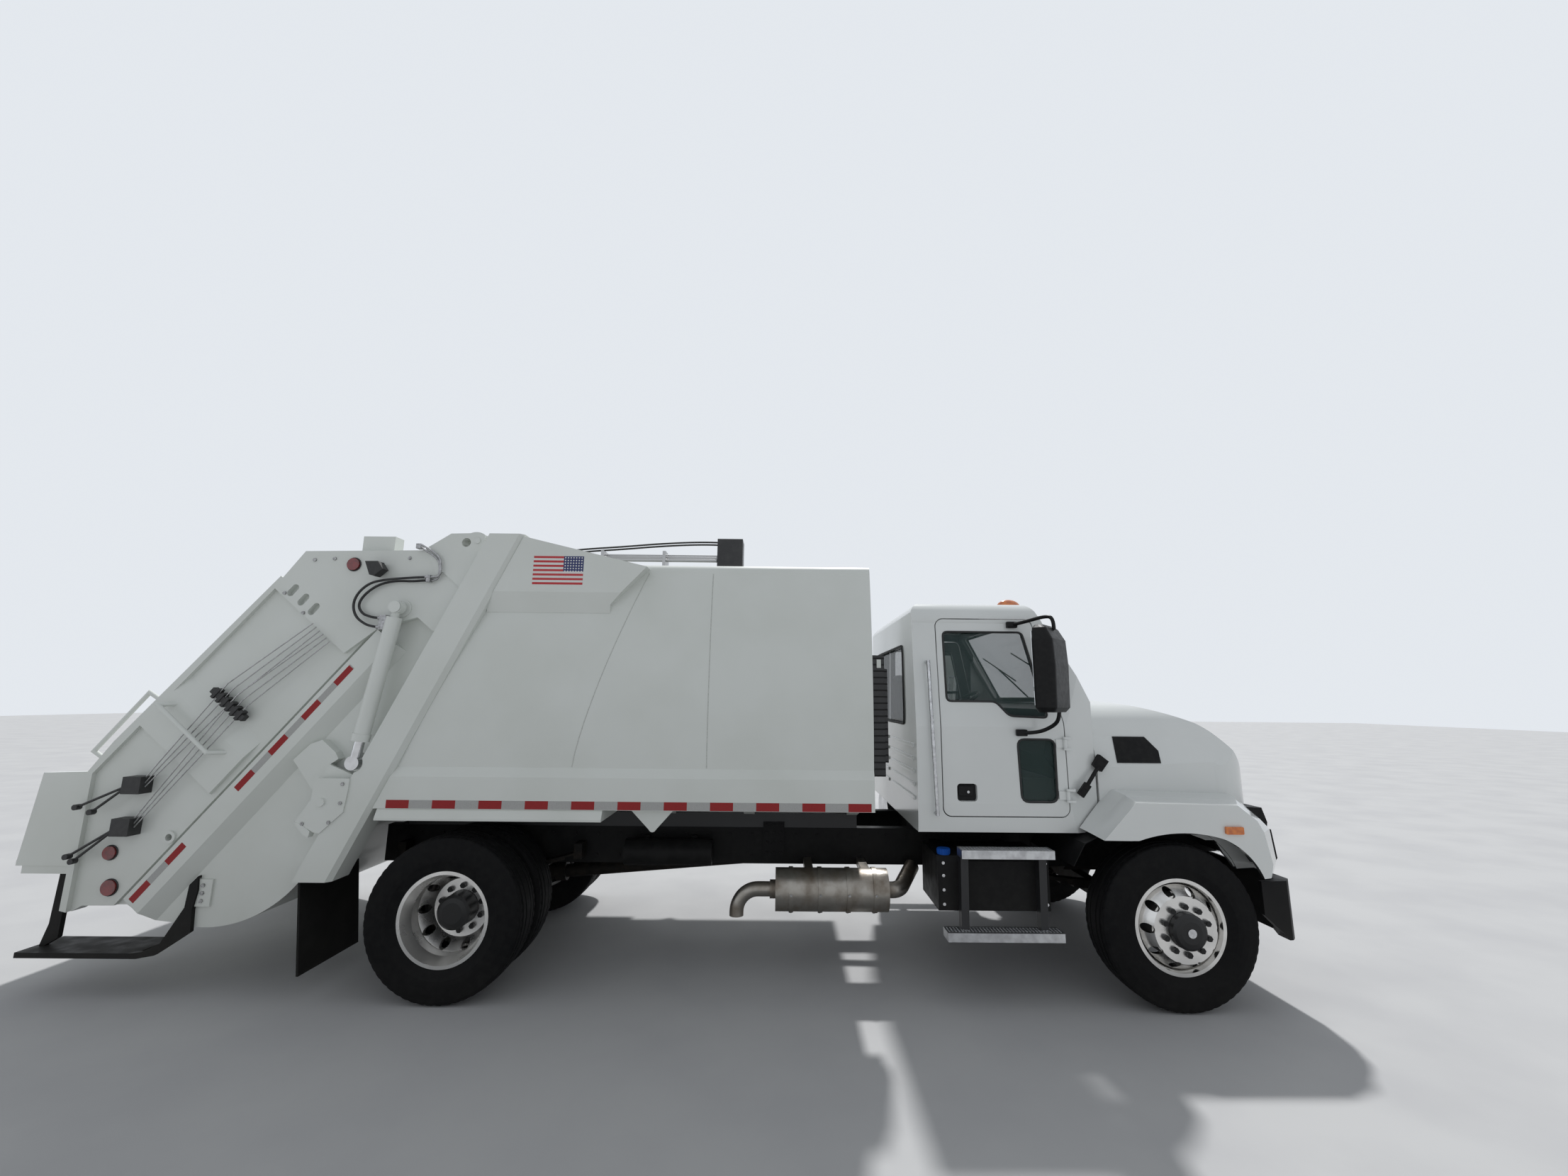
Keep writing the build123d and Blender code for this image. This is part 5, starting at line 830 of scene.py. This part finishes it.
def tread_line(notch):
    """Half of the tread's section from the shoulder to the middle, with three grooves."""
    cut = 3 if notch else 0
    drops = [(131, 28 + cut), (124, 12 + cut), (116, 6 + cut), (98, 4 + cut), (92, 3), (89, 16), (81, 16), (78, 2),
             (44, 1), (41, 14), (33, 14), (30, 0), (0, 0)]
    return [(y, TYRE_R - drop) for y, drop in drops]


def tyre(name, middles, x, node, body):
    """Tyres turned about the axle at X with their middles at given Y."""
    mesh = bmesh.new()
    for middle in middles:
        rings = []
        for k, (c, s) in enumerate(circle(168, 1)):
            section = wall_line + tread_line(k % 3 == 0)
            full = section + [(-y, r) for y, r in section[:-1][::-1]]
            rings.append([mesh.verts.new(at(x + r * c, middle + y, AXLE_Z + r * s)) for y, r in full])
        lofted(mesh, rings + rings[:1], capped=False)
    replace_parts(made(name, closed_mesh(name, mesh, outwards=True), tyre_rubber, body), node)


for side, sign in SIDES:
    tyre(f"front_tyre_rubber_{side}", [sign * 1090], FRONT, f"tyre_front_{side}", f"front_wheel_{side}")
    tyre(f"rear_tyre_rubber_{side}", [sign * 1059, sign * 723], 0, f"tyres_rear_{side}", f"rear_wheels_{side}")

# Wheels: forged aluminium, polished, the front ones with fine turned rings. The hub is black, the
# ten studs and nuts around it are dark steel, and the brake drum behind the disc is bare iron.
HUB_R, STUD_BAND, DRUM_R, DRUM_BACK = 0.112, (0.113, 0.165), 0.207, 0.03   # from the axle, and behind the disc
for side, sign in SIDES:
    for node, x, face, gloss, depth in ((f"wheel_front_{side}", FRONT, 1.259, (0.2, 0.28), 0.05),
                                        (f"wheels_rear_{side}", 0, 0.916, (0.26, 0.32), 0.0)):
        alloy = surface(f"polished_{node}", (0.74, 0.73, 0.71), (0.64, 0.63, 0.61), 1.0, gloss, 9, 0.0, 60)
        px, py, pz = place_of(alloy)
        dx, dz = ask(alloy, "SUBTRACT", px, frame_x(x)), ask(alloy, "SUBTRACT", pz, AXLE_Z / 1000)
        radius = ask(alloy, "SQRT", ask(alloy, "ADD", ask(alloy, "MULTIPLY", dx, dx), ask(alloy, "MULTIPLY", dz, dz)))
        raised(alloy, ask(alloy, "SINE", ask(alloy, "MULTIPLY", radius, 2600.0)), depth, 0.002)
        masked(alloy, ask(alloy, "LESS_THAN", radius, HUB_R), (0.012, 0.012, 0.012), 0.2, 0.45)
        out = ask(alloy, "ABSOLUTE", py)
        studs = all_of(alloy, between(alloy, radius, *STUD_BAND), ask(alloy, "GREATER_THAN", out, face))
        masked(alloy, studs, (0.02, 0.02, 0.02), 0.6, 0.45)
        drum = all_of(alloy, ask(alloy, "LESS_THAN", radius, DRUM_R), ask(alloy, "LESS_THAN", out, face - DRUM_BACK))
        masked(alloy, drum, (0.03, 0.028, 0.026), 0.4, 0.6)
        paint(alloy, node)
NUT_CIRCLE = 142.9
nut_steel = surface("wheel_nut_steel", (0.07, 0.07, 0.07), (0.03, 0.03, 0.03), 0.9, (0.35, 0.5), 90, 0.05, 300)
for side, sign in SIDES:
    for place, body, x, face in (("front", f"front_wheel_{side}", FRONT, 1258),
                                 ("rear", f"rear_wheels_{side}", 0, 915)):
        ring = [(x + dx, sign * (face + 12), AXLE_Z + dz, (0, sign, 0))
                for dx, dz in circle(10, NUT_CIRCLE, math.radians(18))]
        heads(f"wheel_nuts_{place}_{side}", ring, 19, 24, nut_steel, body)
    cap = [(FRONT, sign * 1319.5, AXLE_Z, (0, sign, 0))]
    heads(f"hub_cap_{side}", cap, 27, 10, bright, f"front_wheel_{side}", sides=24)

# Seats: foam cushions and backs covered in black cloth, sewn in two channels, each seat on a
# steel pedestal.
seat_cloth = surface("seat_cloth", (0.025, 0.025, 0.028), (0.045, 0.045, 0.05), 0.0, (0.8, 0.95), 40, 0.35, 900)
shader_of(seat_cloth).inputs["Sheen Weight"].default_value = 0.3


def cushion(name, centre, size, tilt):
    """Crowned pad: a rounded box whose faces swell and whose sides pull in at the corners."""
    mesh = bmesh.new()
    bmesh.ops.create_cube(mesh, size=1)
    bmesh.ops.subdivide_edges(mesh, edges=mesh.edges[:], cuts=9, use_grid_fill=True)
    for vert in mesh.verts:
        x, y, z = vert.co * 2
        round_x = 1 - 0.10 * (y * y) - 0.08 * (z * z)
        round_y = 1 - 0.06 * (x * x) - 0.08 * (z * z)
        crown = 0.80 + 0.20 * (1 - x ** 4) * (1 - y ** 4)
        channel = 0.05 if abs(abs(y) - 0.6) < 0.05 and abs(x) < 0.9 else 0
        shape = (x * round_x, y * round_y, z * (crown - channel))
        vert.co = Vector([share * length / 2000 for share, length in zip(shape, size)])
    mesh.transform(Matrix.Translation(at(*centre)) @ Matrix.Rotation(math.radians(tilt), 4, "Y"))
    data = closed_mesh(name, mesh, outwards=True)
    data.shade_smooth()
    piece = made(name, data, seat_cloth, "chassis")
    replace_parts(piece, "cab_seats")


for side, y in (("right", -620), ("left", 620)):
    cushion(f"seat_cushion_{side}", (FRONT - 1108, y, 1482), (470, 470, 116), 0)
    cushion(f"seat_back_{side}", (FRONT - 1418, y, 1830), (100, 450, 690), -5.7)
    blocks(f"seat_pedestal_{side}", [((FRONT - 1288, y - 180, 1093), (FRONT - 928, y + 180, 1424))], frame_black,
           "chassis", 0.006)

# Floor and light: a plain pale floor under a soft even sky, and a high sun behind the truck that
# leaves the near side in open shade, as in the photograph.
REACH = 60
floor_mesh = bpy.data.meshes.new("floor")
floor_mesh.from_pydata([(-REACH, -REACH, 0), (REACH, -REACH, 0), (REACH, REACH, 0), (-REACH, REACH, 0)], [],
                       [(0, 1, 2, 3)])
floor = placed("floor", floor_mesh)
floor_paint = surface("pale_floor", (0.50, 0.50, 0.50), (0.47, 0.47, 0.475), 0.0, (0.7, 0.85), 1.2, 0.0, 10)
floor_mesh.materials.append(floor_paint)
world = bpy.data.worlds.new("world")
bpy.context.scene.world = world
world.use_nodes = True
background = world.node_tree.nodes["Background"]
background.inputs["Color"].default_value = (0.86, 0.9, 0.95, 1)
rays = world.node_tree.nodes.new("ShaderNodeLightPath")
direct = ask(world, "MAXIMUM", rays.outputs["Is Camera Ray"], rays.outputs["Is Glossy Ray"])
direct = ask(world, "MAXIMUM", direct, rays.outputs["Is Transmission Ray"])
world.node_tree.links.new(ranged(world, direct, 0.0, 1.0, 0.55, 0.9), background.inputs["Strength"])
sun_data = bpy.data.lights.new("sun", "SUN")
sun_data.energy, sun_data.angle = 2.6, 0.05
placed("sun", sun_data).rotation_euler = (math.radians(-33), 0, math.radians(-10))
bpy.context.scene.view_settings.view_transform = "Standard"
